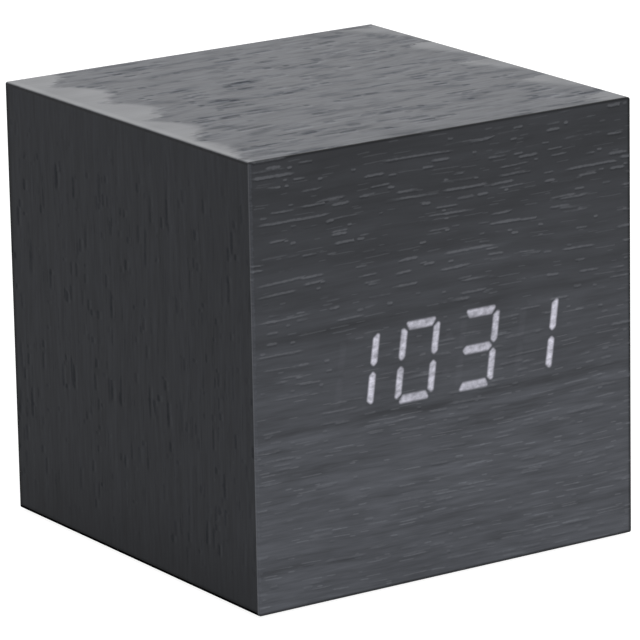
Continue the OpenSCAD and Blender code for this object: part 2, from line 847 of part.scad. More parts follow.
module microphone() {
    ring = 0.5;
    color(STEEL) difference() {
        rod_y(mic_x, mic_z, control_y1, control_y1 + mic_h, mic_d);
        rod_y(mic_x, mic_z, control_y1 + mic_h - ring, control_y1 + mic_h + over, mic_d - 4 * ring);
    }
}

module buzzer() {
    color("#151516") difference() {
        rod_y(buzzer_x, control_z, control_y0 - buzzer_h, control_y0, buzzer_d);
        rod_y(buzzer_x, control_z, control_y0 - buzzer_h - over, control_y0 - buzzer_h / 2, buzzer_hole_d);
    }
}

module clock_chip() {
    lead_rows = 8;
    lead_w = 0.5;
    lead_out = 1;
    lead_pitch = 1.27;
    z = control_z + control_h / 2 - chip_h / 2 - lead_out - part_edge;
    color("#1a1a1c") union() {
        block([chip_x - chip_w / 2, control_y0 - chip_t, z - chip_h / 2],
            [chip_x + chip_w / 2, control_y0 - lead_w / 2, z + chip_h / 2]);
        for (i = [0:lead_rows - 1], s = [-1, 1])
            translate([chip_x + (i - (lead_rows - 1) / 2) * lead_pitch, 0, z + s * (chip_h + lead_out) / 2])
                block([-lead_w / 2, control_y0 - lead_w, -lead_out / 2 - hair],
                    [lead_w / 2, control_y0, lead_out / 2 + hair]);
    }
}

module crystal() {
    z = control_z - control_h / 2 + crystal_h / 2 + part_edge;
    color(STEEL) translate([chip_x, 0, z]) along_y(control_y0 - crystal_t, control_y0)
        rounded(crystal_w, crystal_h, crystal_r);
}

module capacitors() {
    color("#23306b") for (x = capacitor_x)
        rod_y(x, capacitor_z, control_y0 - capacitor_h, control_y0, capacitor_d);
}

// Battery bay

// Hinged door: a skin with a rim, a round hinge edge with pins, and a latch tongue between two slits
module battery_door() {
    skin_y = panel_y1 - door_skin;
    inner_y = panel_y1 - door_t;
    color(BLACK_PLASTIC) difference() {
        union() {
            block([-door_x, inner_y, hinge_z], [door_x, panel_y1, door_z1]);
            rod_x(hinge_y, hinge_z, -door_x, door_x, 2 * bead_r);
            rod_x(hinge_y, hinge_z, -door_x - hinge_l, door_x + hinge_l, hinge_d);
            along_x(-latch_w / 2 + latch_slit, latch_w / 2 - latch_slit)
                polygon([[skin_y, door_z1 - hair], [skin_y, door_z1],
                    [skin_y - nib_y / 2, door_z1 + nib_rise],
                    [inner_y, door_z1], [inner_y, door_z1 - hair]]);
            for (i = [1:grip_count])
                rod_x(panel_y1, door_z1 - i * grip_pitch, -latch_w / 2 + 2 * latch_slit,
                    latch_w / 2 - 2 * latch_slit, 2 * grip_r);
        }
        block([-door_x + door_rim, inner_y - over, hinge_z + bead_r],
            [door_x - door_rim, skin_y, door_z1 - door_rim]);
        for (s = [-1, 1]) translate([s * (latch_w + latch_slit) / 2, 0, 0])
            block([-latch_slit / 2, inner_y - over, door_z1 - latch_l],
                [latch_slit / 2, panel_y1 + over, door_z1 + over]);
    }
}

// Three cells in series, turned end for end
module battery_cells() {
    color("#8a8d92") for (i = [0:cell_count - 1]) {
        foot = bay_x - plate_t - spring_l;
        translate([0, cell_y, cell_z(i)]) rotate([0, cell_way(i) * 90, 0]) translate([0, 0, -foot])
            rotate_extrude() {
                square([cell_d / 2 - cell_lip, cell_l - nub_l]);
                translate([0, cell_lip]) square([cell_d / 2, cell_l - nub_l - 2 * cell_lip]);
                square([nub_d / 2, cell_l]);
            }
    }
}

// A plate against the bay's end wall at side s, over cells i to j
module contact_plate(s, i, j) {
    x0 = s > 0 ? bay_x - plate_t : -bay_x;
    block([x0, cell_y - plate_w / 2, cell_z(i) - plate_w / 2],
        [x0 + plate_t, cell_y + plate_w / 2, cell_z(j) + plate_w / 2]);
}

// A soldering tab from a plate through the bay's floor
module contact_tab(s, i) {
    x0 = s > 0 ? bay_x - plate_t : -bay_x;
    block([x0, floor_y0 - tab_l, cell_z(i) - tab_w / 2], [x0 + plate_t, cell_y, cell_z(i) + tab_w / 2]);
}

module contact_plates() {
    last = cell_count - 1;
    color(TIN) {
        contact_plate(1, 0, 1);
        union() {
            contact_plate(1, last, last);
            contact_tab(1, last);
        }
        contact_plate(-1, 1, last);
        union() {
            contact_plate(-1, 0, 0);
            contact_tab(-1, 0);
        }
    }
}

// Middle line of a contact spring: a cone that winds along X from its plate to its cell
spring_rings = spring_turns * rings_per_turn;
spring_path = [
    for (k = [0:spring_rings])
        let (t = k / spring_rings, a = 360 * spring_turns * t, r = spring_r0 + (spring_r1 - spring_r0) * t)
        [spring_wire / 2 + hair + t * (spring_l - spring_wire - 2 * hair), r * cos(a), r * sin(a)]
];
spring_least_gap = min([
    for (i = [0:spring_rings], j = [0:spring_rings])
        if (j - i >= rings_per_turn / 2) norm(spring_path[i] - spring_path[j]) - spring_wire
]);
echo(contact_spring_least_gap_mm = spring_least_gap);

function unit(v) = v / norm(v);

// A round wire swept along a list of points that wind about the X axis
module wound_wire(path, d, sides) {
    last = len(path) - 1;
    ring = [
        for (k = [0:last])
            let (
                along = unit(path[min(k + 1, last)] - path[max(k - 1, 0)]),
                outward = unit([0, path[k][1], path[k][2]]),
                side = unit(cross(along, outward)),
                square_out = cross(side, along)
            )
            for (n = [0:sides - 1])
                path[k] + d / 2 * (cos(360 * n / sides) * square_out + sin(360 * n / sides) * side)
    ];
    walls = [
        for (k = [0:last - 1], n = [0:sides - 1])
            let (a = k * sides + n, b = k * sides + (n + 1) % sides)
            each [[a, b, b + sides], [a, b + sides, a + sides]]
    ];
    start_cap = [for (n = [1:sides - 2]) [0, n + 1, n]];
    end_cap = [for (n = [1:sides - 2]) [last * sides, last * sides + n, last * sides + n + 1]];
    polyhedron(ring, concat(walls, start_cap, end_cap), convexity = 8);
}

module contact_springs() {
    color(TIN) for (i = [0:cell_count - 1])
        translate([-cell_way(i) * (bay_x - plate_t), cell_y, cell_z(i)])
            rotate([0, 0, cell_way(i) > 0 ? 0 : 180]) wound_wire(spring_path, spring_wire, wire_sides);
}

// A lead that runs up from a tab and bends back into the control board
module lead(s, i) {
    foot_z = cell_z(i) - tab_w / 2;
    translate([s * lead_x, lead_y, 0]) {
        translate([0, 0, foot_z]) cylinder(d = lead_d, h = lead_z - lead_bend - foot_z);
        translate([0, lead_bend, lead_z - lead_bend]) rotate([90, 0, -90]) rotate_extrude(angle = 90)
            translate([lead_bend, 0]) circle(d = lead_d);
        rod_y(0, lead_z, lead_bend, control_y0 - lead_y, lead_d);
    }
}

module red_lead() {
    color("#b3261e") lead(1, cell_count - 1);
}

module black_lead() {
    color("#161617") lead(-1, 0);
}

front_board();
top_board();
bottom_board();
side_board(-1);  // left_board
side_board(1);  // right_board
front_veneer();
top_veneer();
bottom_veneer();
side_veneer(-1);  // left_veneer
side_veneer(1);  // right_veneer
corner_cleats();
feet();
display_housing();
lit_segments();
dark_segments();
led_board();
led_chips();
display_pins();
display_board();
display_spacers();
display_screws();
display_connector();
ribbon_cable();
rear_panel();
rear_panel_screws();
control_board();
control_board_screws();
button(0);  // set_button
button(1);  // up_button
button(2);  // down_button
switch_plunger(0);  // set_switch_plunger
switch_plunger(1);  // up_switch_plunger
switch_plunger(2);  // down_switch_plunger
switch_housings();
power_socket_shell();
power_socket_tongue();
microphone();
buzzer();
clock_chip();
crystal();
capacitors();
ribbon_header();
battery_door();
battery_cells();
contact_plates();
contact_springs();
red_lead();
black_lead();
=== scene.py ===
"""Looks of a veneered cube alarm clock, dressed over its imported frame.

Everything is in metres in the frame's own axes: X to the viewer's right, Y from
the front to the back, Z up, with the origin on the surface the clock stands on.
Shapes and textures are worked out in millimetres, so their sizes read as real ones.
"""

import json
import logging
import math
from dataclasses import dataclass
from enum import Enum
from typing import Any, Callable, Optional, Protocol, Sequence, Union

import bmesh
import bpy
from mathutils import Matrix, Vector
from mathutils.geometry import delaunay_2d_cdt

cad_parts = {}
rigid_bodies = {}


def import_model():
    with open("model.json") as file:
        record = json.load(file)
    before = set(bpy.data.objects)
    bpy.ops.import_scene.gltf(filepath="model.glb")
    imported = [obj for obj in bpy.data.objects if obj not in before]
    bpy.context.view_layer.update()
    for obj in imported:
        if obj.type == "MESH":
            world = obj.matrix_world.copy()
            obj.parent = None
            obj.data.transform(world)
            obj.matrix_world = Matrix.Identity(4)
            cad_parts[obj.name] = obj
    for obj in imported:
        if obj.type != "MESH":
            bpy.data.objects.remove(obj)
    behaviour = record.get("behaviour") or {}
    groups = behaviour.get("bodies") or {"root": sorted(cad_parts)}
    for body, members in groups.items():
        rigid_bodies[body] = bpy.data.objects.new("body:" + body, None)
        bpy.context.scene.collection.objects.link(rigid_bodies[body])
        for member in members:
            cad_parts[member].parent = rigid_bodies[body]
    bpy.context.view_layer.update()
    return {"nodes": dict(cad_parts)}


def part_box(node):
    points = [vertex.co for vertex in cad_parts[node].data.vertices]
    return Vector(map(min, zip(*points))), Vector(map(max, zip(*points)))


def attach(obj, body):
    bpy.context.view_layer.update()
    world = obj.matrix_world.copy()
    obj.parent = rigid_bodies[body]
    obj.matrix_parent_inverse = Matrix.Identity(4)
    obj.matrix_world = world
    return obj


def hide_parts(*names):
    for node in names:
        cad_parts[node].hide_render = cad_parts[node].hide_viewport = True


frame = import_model()

LOG = logging.getLogger("clock")
MM = 0.001
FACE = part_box("front_veneer")
HALF_CASE = round(FACE[1].x / MM, 3)
CASE_TOP = round(FACE[1].z / MM, 3)
CASE_FOOT = round(FACE[0].z / MM, 3)

Object = bpy.types.Object
Material = bpy.types.Material
Socket = bpy.types.NodeSocket
Key = Union[str, int]
Point = tuple[float, float]
Place = tuple[float, float, float]
Colour = tuple[float, float, float]
Paint = tuple[float, float, float, float]
Outline = list[Point]
Bars = list[tuple[Outline, float]]


def linear(code: str, gain: float = 1.0, lift: float = 0.0) -> Paint:
    """Turns a hex screen colour into the linear colour that a socket takes.

    Args:
        code: Six hex digits after a hash sign.
        gain: Makes it brighter or darker.
        lift: Is added after that.

    Returns:
        Red, green, blue and an alpha of 1.
    """
    parts = [int(code[i:i + 2], 16) / 255 for i in (1, 3, 5)]
    plain = [p / 12.92 if p <= 0.04045 else ((p + 0.055) / 1.055) ** 2.4 for p in parts]
    return tuple(p * gain + lift for p in plain) + (1.0,)


class Value:
    """A shader value. Arithmetic on it adds Math nodes to its tree."""

    def __init__(self, nodes: "Nodes", socket: Socket) -> None:
        """Keeps the tree and the output socket that carries the value."""
        self.nodes = nodes
        self.socket = socket

    def math(self, operation: str, *others: Any, clamp: bool = False) -> "Value":
        """Adds one Math node that starts from this value."""
        return self.nodes.math(operation, self, *others, clamp=clamp)

    def __add__(self, other: Any) -> "Value":
        """Sum."""
        return self.math("ADD", other)

    __radd__ = __add__

    def __mul__(self, other: Any) -> "Value":
        """Product."""
        return self.math("MULTIPLY", other)

    __rmul__ = __mul__

    def __sub__(self, other: Any) -> "Value":
        """Difference."""
        return self.math("SUBTRACT", other)

    def __rsub__(self, other: Any) -> "Value":
        """Reflected difference."""
        return self.nodes.math("SUBTRACT", other, self)

    def __truediv__(self, other: Any) -> "Value":
        """Quotient."""
        return self.math("DIVIDE", other)

    def __pow__(self, other: Any) -> "Value":
        """Power."""
        return self.math("POWER", other)

    def __abs__(self) -> "Value":
        """Size without sign."""
        return self.math("ABSOLUTE")

    def clamp(self) -> "Value":
        """The value kept between 0 and 1."""
        return self.math("ADD", 0.0, clamp=True)

    def at_least(self, other: Any) -> "Value":
        """The larger of the two."""
        return self.math("MAXIMUM", other)

    def step(self, low: float, high: float) -> "Value":
        """A smooth step that is 0 at low and 1 at high, also where high is below low."""
        sockets = {"Value": self, "From Min": low, "From Max": high}
        return self.nodes.read("ShaderNodeMapRange", {"interpolation_type": "SMOOTHSTEP"}, sockets)


class Nodes:
    """The one place where shader and geometry nodes are made."""

    def __init__(self, tree: bpy.types.NodeTree) -> None:
        """Keeps the tree that nodes are added to."""
        self.tree = tree

    def node(
        self,
        kind: str,
        settings: Optional[dict[str, Any]] = None,
        sockets: Optional[dict[Key, Any]] = None,
    ) -> bpy.types.Node:
        """Adds a node, sets it up and links it.

        Args:
            kind: The node's type.
            settings: Properties, which are set before any socket.
            sockets: Values, sockets or plain values by the input's name or index.

        Returns:
            The node.
        """
        made = self.tree.nodes.new(kind)
        for name, value in (settings or {}).items():
            setattr(made, name, value)
        for name, value in (sockets or {}).items():
            value = value.socket if isinstance(value, Value) else value
            if isinstance(value, Socket):
                self.tree.links.new(value, made.inputs[name])
            else:
                made.inputs[name].default_value = value
        return made

    def read(self, kind: str, settings: dict[str, Any], sockets: dict[Key, Any], out: Key = 0) -> Value:
        """Adds a node and reads one of its outputs as a value."""
        return Value(self, self.node(kind, settings, sockets).outputs[out])

    def math(self, operation: str, *operands: Any, clamp: bool = False) -> Value:
        """Adds a Math node on values or numbers, kept between 0 and 1 where it clamps."""
        settings = {"operation": operation, "use_clamp": clamp}
        return self.read("ShaderNodeMath", settings, dict(enumerate(operands)))

    def place(self) -> tuple[Value, Value, Value]:
        """The point's own place on the object, in millimetres."""
        coords = self.node("ShaderNodeTexCoord").outputs["Object"]
        return tuple(part / MM for part in self.split(coords))

    def attribute(self, name: str) -> Value:
        """One of the mesh's own attributes."""
        return self.read("ShaderNodeAttribute", {"attribute_name": name}, {}, "Fac")

    def split(self, vector: Socket) -> tuple[Value, Value, Value]:
        """Takes a vector or colour apart into its three values."""
        made = self.node("ShaderNodeSeparateXYZ", None, {0: vector})
        return tuple(Value(self, out) for out in made.outputs)

    def join(self, x: Any, y: Any, z: Any = 0.0) -> Socket:
        """Makes a vector from three values."""
        return self.node("ShaderNodeCombineXYZ", None, {0: x, 1: y, 2: z}).outputs[0]

    def noise(self, vector: Socket, scale: float, detail: float = 2.0, rough: float = 0.5) -> Value:
        """Soft noise about 0.5: its place, frequency, octaves and how strong the finer ones are."""
        sockets = {"Vector": vector, "Scale": scale, "Detail": detail, "Roughness": rough}
        return self.read("ShaderNodeTexNoise", {}, sockets)

    def cloud(self, u: Value, v: Value, size: Point, detail: float = 2.0, rough: float = 0.5) -> Value:
        """Soft noise about 0.5 with its own size along each of two axes, in millimetres."""
        return self.noise(self.join(u / size[0], v / size[1]), 1.0, detail, rough)

    def mix(self, factor: Any, a: Any, b: Any) -> Socket:
        """Mixes two colours: the first at 0 and the second at 1."""
        return self.node("ShaderNodeMix", {"data_type": "RGBA"}, {0: factor, 6: a, 7: b}).outputs[2]

    def grey(self, value: Value, tint: Colour = (1.0, 1.0, 1.0)) -> Socket:
        """A colour of this brightness, tinted."""
        return self.join(*(value * part for part in tint))


def radius_of(a: Value, b: Value) -> Value:
    """Distance from the line where both values are 0."""
    return (a * a + b * b) ** 0.5


class Finish:
    """A material under construction, with its shader and its own tree."""

    def __init__(self, name: str, **fixed: Any) -> None:
        """Starts a material.

        Args:
            name: The material's name.
            fixed: Constant shader sockets, with underscores for spaces.
        """
        self.material = bpy.data.materials.new(name)
        self.material.use_nodes = True
        self.nodes = Nodes(self.material.node_tree)
        self.shader = next(n for n in self.material.node_tree.nodes if n.type == "BSDF_PRINCIPLED")
        for key, value in fixed.items():
            self.shader.inputs[key.replace("_", " ")].default_value = value

    def feed(self, socket: str, value: Any) -> None:
        """Links a value or colour to one of the shader's sockets."""
        source = value.socket if isinstance(value, Value) else value
        self.nodes.tree.links.new(source, self.shader.inputs[socket])

    def bump(self, height: Value, depth: float) -> None:
        """Raises the surface by a height of 0 to 1, where 1 stands for a depth in millimetres."""
        sockets = {"Strength": 1.0, "Distance": depth * MM, "Height": height}
        self.feed("Normal", self.nodes.node("ShaderNodeBump", None, sockets).outputs[0])

    def glow(self, colour: Socket, strength: float) -> None:
        """Makes the surface shine by itself.

        Args:
            colour: Its light.
            strength: How strongly it shines.
        """
        self.feed("Emission Color", colour)
        self.shader.inputs["Emission Strength"].default_value = strength
        self.material.cycles.emission_sampling = "NONE"


class Axis(Enum):
    """An axis of the frame: X to the right, Y to the back and Z up."""

    X = 0
    Y = 1
    Z = 2


class Sheet(Enum):
    """A veneered side of the case: its grain's axis, the axis across it, and its own cut of the log."""

    FRONT = (Axis.X, Axis.Z, 3.1)
    TOP = (Axis.X, Axis.Y, 17.6)
    BOTTOM = (Axis.X, Axis.Y, 41.3)
    LEFT = (Axis.Z, Axis.Y, 8.4)
    RIGHT = (Axis.Z, Axis.Y, 29.7)


@dataclass(frozen=True)
class Pores:
    """One population of open pores: spacing along and across the grain, half lengths, half widths, in mm."""

    spacing: Point
    half_length: Point
    half_width: Point
    seed: float
    soft: float = 0.1
    gain: float = 6.0

    def mask(self, n: Nodes, u: Value, v: Value, density: Any, bead: Value) -> Value:
        """Draws the dashes.

        Args:
            n: The tree.
            u: Place along the grain.
            v: Place across the grain.
            density: Share of the cells that hold a dash.
            bead: Swells and pinches each dash along its length, about 1.

        Returns:
            1 inside a dash and 0 elsewhere.
        """
        along = u / self.spacing[0] + self.seed
        across = v / self.spacing[1] + self.seed * 2.7
        sockets = {"Vector": n.join(along, across), "Scale": 1.0}
        cells = n.node("ShaderNodeTexVoronoi", {"voronoi_dimensions": "2D"}, sockets)
        mid_u, mid_v, _ = n.split(cells.outputs["Position"])
        long, wide, rank = n.split(cells.outputs["Color"])
        reach = self.half_length[0] + (self.half_length[1] - self.half_length[0]) * long * long
        girth = (self.half_width[0] + (self.half_width[1] - self.half_width[0]) * wide) * bead
        ends = ((reach - abs(along - mid_u) * self.spacing[0]) / (reach * 0.2 + 0.25)).clamp()
        sides = ((girth * ends - abs(across - mid_v) * self.spacing[1]) / self.soft + 0.5).clamp()
        return ends * sides * ((density - rank) * self.gain).clamp()


BOLD_PORES = (
    Pores((13.0, 2.0), (1.4, 8.5), (0.105, 0.22), 5.3, 0.24, 4.0),
    Pores((6.5, 1.4), (0.6, 3.2), (0.09, 0.21), 11.9, 0.24, 4.0),
)
BROAD_PORES = (
    Pores((9.0, 2.3), (1.0, 4.6), (0.25, 0.6), 5.3, 1.0, 2.0),
    Pores((5.0, 1.6), (0.8, 2.8), (0.2, 0.5), 11.9, 0.9, 2.0),
)
SLIM_PORES = (
    Pores((9.0, 2.0), (0.8, 4.0), (0.18, 0.36), 5.3, 0.6, 2.0),
    Pores((5.0, 1.5), (0.5, 2.2), (0.16, 0.32), 11.9, 0.6, 2.0),
)
FINE_PORES = Pores((7.0, 0.62), (0.8, 3.6), (0.07, 0.14), 23.2)

# Growth rings that show as streaks on the front: height, half width and change of shade
RINGS = (
    (49.2, 1.5, -0.3), (32.0, 1.3, -0.42), (30.0, 0.8, 0.3),
    (58.3, 0.9, 0.25), (19.5, 1.2, 0.22), (8.4, 1.3, -0.3),
)


@dataclass(frozen=True)
class Veneer:
    """Black-stained open-grain veneer under a thin satin lacquer.

    The patterns (fibre, band, grain, flush) are shares of the stain's tone. The colours of the pores (light)
    are added to it, and so are painted light and shade a lip to one side of each pore (raised), which stand
    in for their relief.
    Dull and sunk take lacquer away. Sizes are in mm.
    """

    sheet: Sheet
    tone: float = 0.0418
    pores: tuple[Pores, ...] = BOLD_PORES
    shares: Point = (0.75, 0.8)
    light: float = 0.056
    dull: float = 0.2
    fibre: float = 0.34
    band: float = 0.5
    grain: float = 0.7
    lip: float = 0.34
    painted_lip_shading: float = 0.0
    sunk: float = 0.0
    dense: float = 0.1
    drift: float = 4.0
    wander: float = 0.24
    patch: Point = (19.0, 4.5)
    usual: float = 0.43
    contrast: float = 2.8
    flush: float = 0.0
    streak: float = 0.7
    specular: float = 0.12
    coat: float = 0.3
    roughness: float = 0.5
    depth: float = 0.05
    tint: Colour = (0.945, 1.0, 1.15)

    # Sizes of the patterns along and across the grain, and how far apart the cuts lie in the log
    DRIFT_SIZE = (55, 24)
    WANDER_SIZE = (4.5, 2.2)
    BEAD_SIZE = (0.8, 0.5)
    FIBRE_SIZE = (7, 0.16)
    BAND_SIZE = (60, 3.4)
    BLOTCH_SIZE = (9, 3.2)
    MOTTLE_SIZE = (1.3, 0.9)
    WAVE_SIZE = (26, 18)
    BREAK_SIZE = (12, 1.1)
    CUT_STEP = (13, 10)

    # Scallops and teeth of the sanded strips, and the raggedness of their edges
    SCALLOP = 17
    TOOTH = 18.0
    RAGGED_SIZE = (2.2, 5)

    # Where a change begins and where it is complete
    BOLD_UP = (22.0, 62.0)
    PAINTED_SHADE_UP = (4.0, 82.0)
    HIGH_FADE = (78.0, 66.0)
    LOW_FADE = (2.0, 12.0)
    PAINTED_SHADE_LOW = (0.0, 16.0)
    PAINTED_HIGHLIGHT_EDGE = (2.2, 1.0)
    STRIP_WIDER = (-44.0, 10.0)

    def make(self) -> Material:
        """Builds the material for one sheet.

        Returns:
            The material.
        """
        finish = Finish(
            f"veneer_{self.sheet.name.lower()}",
            Specular_IOR_Level=self.specular,
            Specular_Tint=(0.93, 0.96, 1.0, 1.0),
            Coat_Roughness=0.42,
            Coat_IOR=1.35,
        )
        n = finish.nodes
        here = n.place()
        x, y, z = here
        grain_axis, cross_axis, cut = self.sheet.value
        u, v = here[grain_axis.value], here[cross_axis.value]

        # The grain drifts slowly, and each pore wanders a little
        slow, quick = self.DRIFT_SIZE, self.WANDER_SIZE
        drift = n.noise(n.join(u / slow[0] + cut, v / slow[1] + cut), 1.0, 1.0) - 0.5
        wander = n.noise(n.join(u / quick[0] + cut, v / quick[1]), 1.0) - 0.5
        across = v + drift * self.drift + wander * self.wander + cut * self.CUT_STEP[1]
        along = u + cut * self.CUT_STEP[0]

        cluster = n.cloud(along, across, self.patch, 2.0, 0.6)
        crowd = ((cluster - 0.5) * self.contrast + self.usual).clamp()
        bead = n.cloud(along, across, self.BEAD_SIZE, 1.0) * 1.5 + 0.3
        bold = self.open_pores(n, along, across, crowd, bead)
        fine = FINE_PORES.mask(n, along, across, (1.15 - crowd) * 0.5, bead)
        fibre = n.cloud(along, across, self.FIBRE_SIZE, 3.0, 0.6) - 0.5
        band = n.cloud(along, across, self.BAND_SIZE, 3.0, 0.55) - 0.5
        grain = (n.cloud(along, across, (8, self.streak), 2.0, 0.55) - 0.5) * self.grain

        worn: Any = 0.0
        pale: Any = 0.0
        shown: Any = 1.0
        if self.sheet is Sheet.FRONT:
            # Bold pores stand out high on the front, and fine ones low on it
            height = z.step(*self.BOLD_UP)
            pore = (bold * (height * 0.54 + 0.46) + fine * (0.78 - height * 0.4)).clamp()
            grain = grain * (1.3 - height * 0.8)
        else:
            pore = (bold + fine * 0.34).clamp() * y.step(HALF_CASE - 0.02, HALF_CASE - 0.1)
        if self.sheet is Sheet.TOP:
            flat = z.step(CASE_TOP - 0.2, CASE_TOP - 0.04)
            worn = self.sanded(n, x, y) * flat
            shown = (1.0 - worn) * flat
            fibre = fibre * (1.0 - worn * 0.8)
            pale = worn * (n.cloud(y, x, (6, 9), 1.0) * 0.09 + 0.032)
            # Painted highlight: a pale band along the top's left edge, where its rounded edge catches the
            # light
            pale = pale + (x + HALF_CASE).step(*self.PAINTED_HIGHLIGHT_EDGE) * flat * 0.04
        if self.sheet in (Sheet.LEFT, Sheet.RIGHT):
            # The pores fade towards the upper and lower edges
            shown = z.step(*self.HIGH_FADE) * z.step(*self.LOW_FADE) * 0.85 + 0.15
        # Painted light and shade a lip to one side of each pore, standing in for the relief of the pores
        painted_lip_shading = (self.open_pores(n, along, across + self.lip, crowd, bead) - pore).clamp() * shown
        pore = pore * shown

        pattern = 1.0 + fibre * self.fibre + band * self.band + grain + (crowd - self.usual) * self.flush
        shade = pattern * self.tone
        if self.sheet is Sheet.FRONT:
            # Painted shade: the front's colour gets darker towards the top and paler towards the bottom, for
            # how the light falls on it
            shade = shade * (1.7 - z.step(*self.PAINTED_SHADE_UP) * 1.11)
            shade = shade * self.streaks(n, x, z) + self.raw_edge(n, x, z)
        if self.sheet in (Sheet.LEFT, Sheet.RIGHT):
            # Painted shade: the upright sheets get darker towards their foot
            shade = shade * (0.84 + z.step(*self.PAINTED_SHADE_LOW) * 0.16)
        # Painted shade along the sheet's edges darkens both its colour and its lacquer
        painted_edge_shade = self.painted_edge_shade(x, y, z)
        shade = shade * painted_edge_shade
        bare = pore * self.light + painted_lip_shading * self.painted_lip_shading
        colour = (shade * part + bare * (0.5 + part / 2) + pale for part in self.tint)
        finish.feed("Base Color", n.join(*colour))
        finish.feed("Roughness", self.roughness + pore * 0.4 + fibre * 0.12 - worn * 0.1)
        lacquer = 1.0 - pore * self.dull
        if self.sunk:
            blotch = n.cloud(along, across, self.BLOTCH_SIZE, 2.0, 0.55).step(0.44, 0.7)
            lacquer = lacquer - (blotch * (crowd * 0.8 + 0.3) - grain * 0.62) * (1.0 - worn) * self.sunk
        finish.feed("Coat Weight", (lacquer * self.coat * painted_edge_shade).clamp())
        finish.bump(0.6 + fibre * (self.fibre * 0.74) - pore * 0.5, self.depth)
        if self.sheet is Sheet.FRONT:
            self.shine(finish, fibre, pore)
        return finish.material

    def open_pores(self, n: Nodes, along: Value, across: Value, crowd: Value, bead: Value) -> Value:
        """Both populations of larger pores together.

        Args:
            n: The tree.
            along: Place along the grain.
            across: Place across the grain.
            crowd: How closely they stand, 0 to 1.
            bead: How each swells along its length.

        Returns:
            1 inside a pore and 0 elsewhere.
        """
        total: Any = 0.0
        for share, kind in zip(self.shares, self.pores):
            total = kind.mask(n, along, across, crowd * share + self.dense, bead) + total
        return total.clamp() * (bead * 0.5 + 0.5)

    def painted_edge_shade(self, x: Value, y: Value, z: Value) -> Value:
        """Painted shade: dark lines along a sheet's edges, where its rounded edges and its foot fall into
        shade.

        Args:
            x: Place across the case.
            y: Place from the front to the back.
            z: Height.

        Returns:
            What shade and lacquer are multiplied by.
        """
        if self.sheet is Sheet.FRONT:
            level = (z - CASE_FOOT).step(0.3, 0.75) * (CASE_TOP - z).step(0.05, 0.5)
            return 0.3 + level * (HALF_CASE - x).step(0.4, 0.95) * 0.7
        if self.sheet is Sheet.TOP:
            return 0.12 + z.step(CASE_TOP - 0.3, CASE_TOP - 0.04) * 0.88
        if self.sheet is Sheet.BOTTOM:
            return 1.0 - z.step(CASE_FOOT + 0.01, CASE_FOOT + 0.06) * 0.95
        # Painted shade: a dark line along the foot of the upright sheets and along their back edge
        foot = 0.5 + z.step(CASE_FOOT + 0.6, CASE_FOOT + 1.2) * 0.5
        return foot * (0.45 + (HALF_CASE - y).step(0.2, 1.6) * 0.55)

    def streaks(self, n: Nodes, x: Value, z: Value) -> Value:
        """A few long streaks of the growth rings across the front.

        Args:
            n: The tree.
            x: Place across the front.
            z: Height.

        Returns:
            What the shade is multiplied by.
        """
        wave = n.cloud(x, z, self.WAVE_SIZE) - 0.5
        broken = (n.cloud(x, z, self.BREAK_SIZE) * 2.0 - 0.3).clamp()
        total: Any = 1.0
        for height, girth, change in RINGS:
            total = abs(z + wave * 5.0 - height).step(girth, 0.0) * broken * change + total
        return total

    def sanded(self, n: Nodes, x: Value, y: Value) -> Value:
        """Smooth scalloped strips along the two side edges, where the pores are filled.

        Args:
            n: The tree.
            x: Place across the top.
            y: Place along the edges.

        Returns:
            1 on the strips and 0 elsewhere.
        """
        ragged = n.cloud(y, x, self.RAGGED_SIZE, 3.0, 0.6) - 0.5
        scallop = abs((y * (math.pi / self.SCALLOP) + 0.6 + ragged * 1.6).math("SINE"))
        fade = y.step(*self.STRIP_WIDER)
        left = 0.8 + fade * 4.6 + scallop * (2.5 + fade * 3.4) + ragged * 5.0
        tooth = ((HALF_CASE - y) / self.TOOTH - 0.12 + ragged * 0.35).math("FRACT")
        right = 8.5 - tooth * 9.5 + ragged * 7.0
        faint = (n.noise(n.join(y / 11 + 4.0, x / 20), 1.0, 1.0) * 1.2 + 0.15).clamp()
        on_left = ((left - (x + HALF_CASE)) / 2.2).clamp()
        return on_left.at_least(((right - (HALF_CASE - x)) / 2.6).clamp() * faint)

    def raw_edge(self, n: Nodes, x: Value, z: Value) -> Value:
        """A paler, frayed line where the front sheet's end grain meets the left side.

        Args:
            n: The tree.
            x: Place across the front.
            z: Height.

        Returns:
            What it adds to the shade.
        """
        fray = n.cloud(z, x, (0.55, 0.8), 2.0, 0.7)
        thread = (fray * 1.5 - (x + (HALF_CASE - 0.25)) * 2.2 - 0.35).clamp()
        return thread * (x + HALF_CASE).step(1.3, 0.4) * 0.045

    def shine(self, finish: Finish, fibre: Value, pore: Value) -> None:
        """Lets the lit segments shine through the sheet, mottled by its fibres.

        Args:
            finish: The material.
            fibre: The fibre pattern.
            pore: The pore mask.
        """
        n = finish.nodes
        x, _, z = n.place()
        mottle = n.cloud(x, z, self.MOTTLE_SIZE, 2.0, 0.55) - 0.5
        through = n.attribute("glow") * (0.86 + fibre * 0.25 + mottle * 1.6 - pore * 0.1)
        finish.glow(n.grey(through, (0.555, 0.545, 0.625)), 1.0)


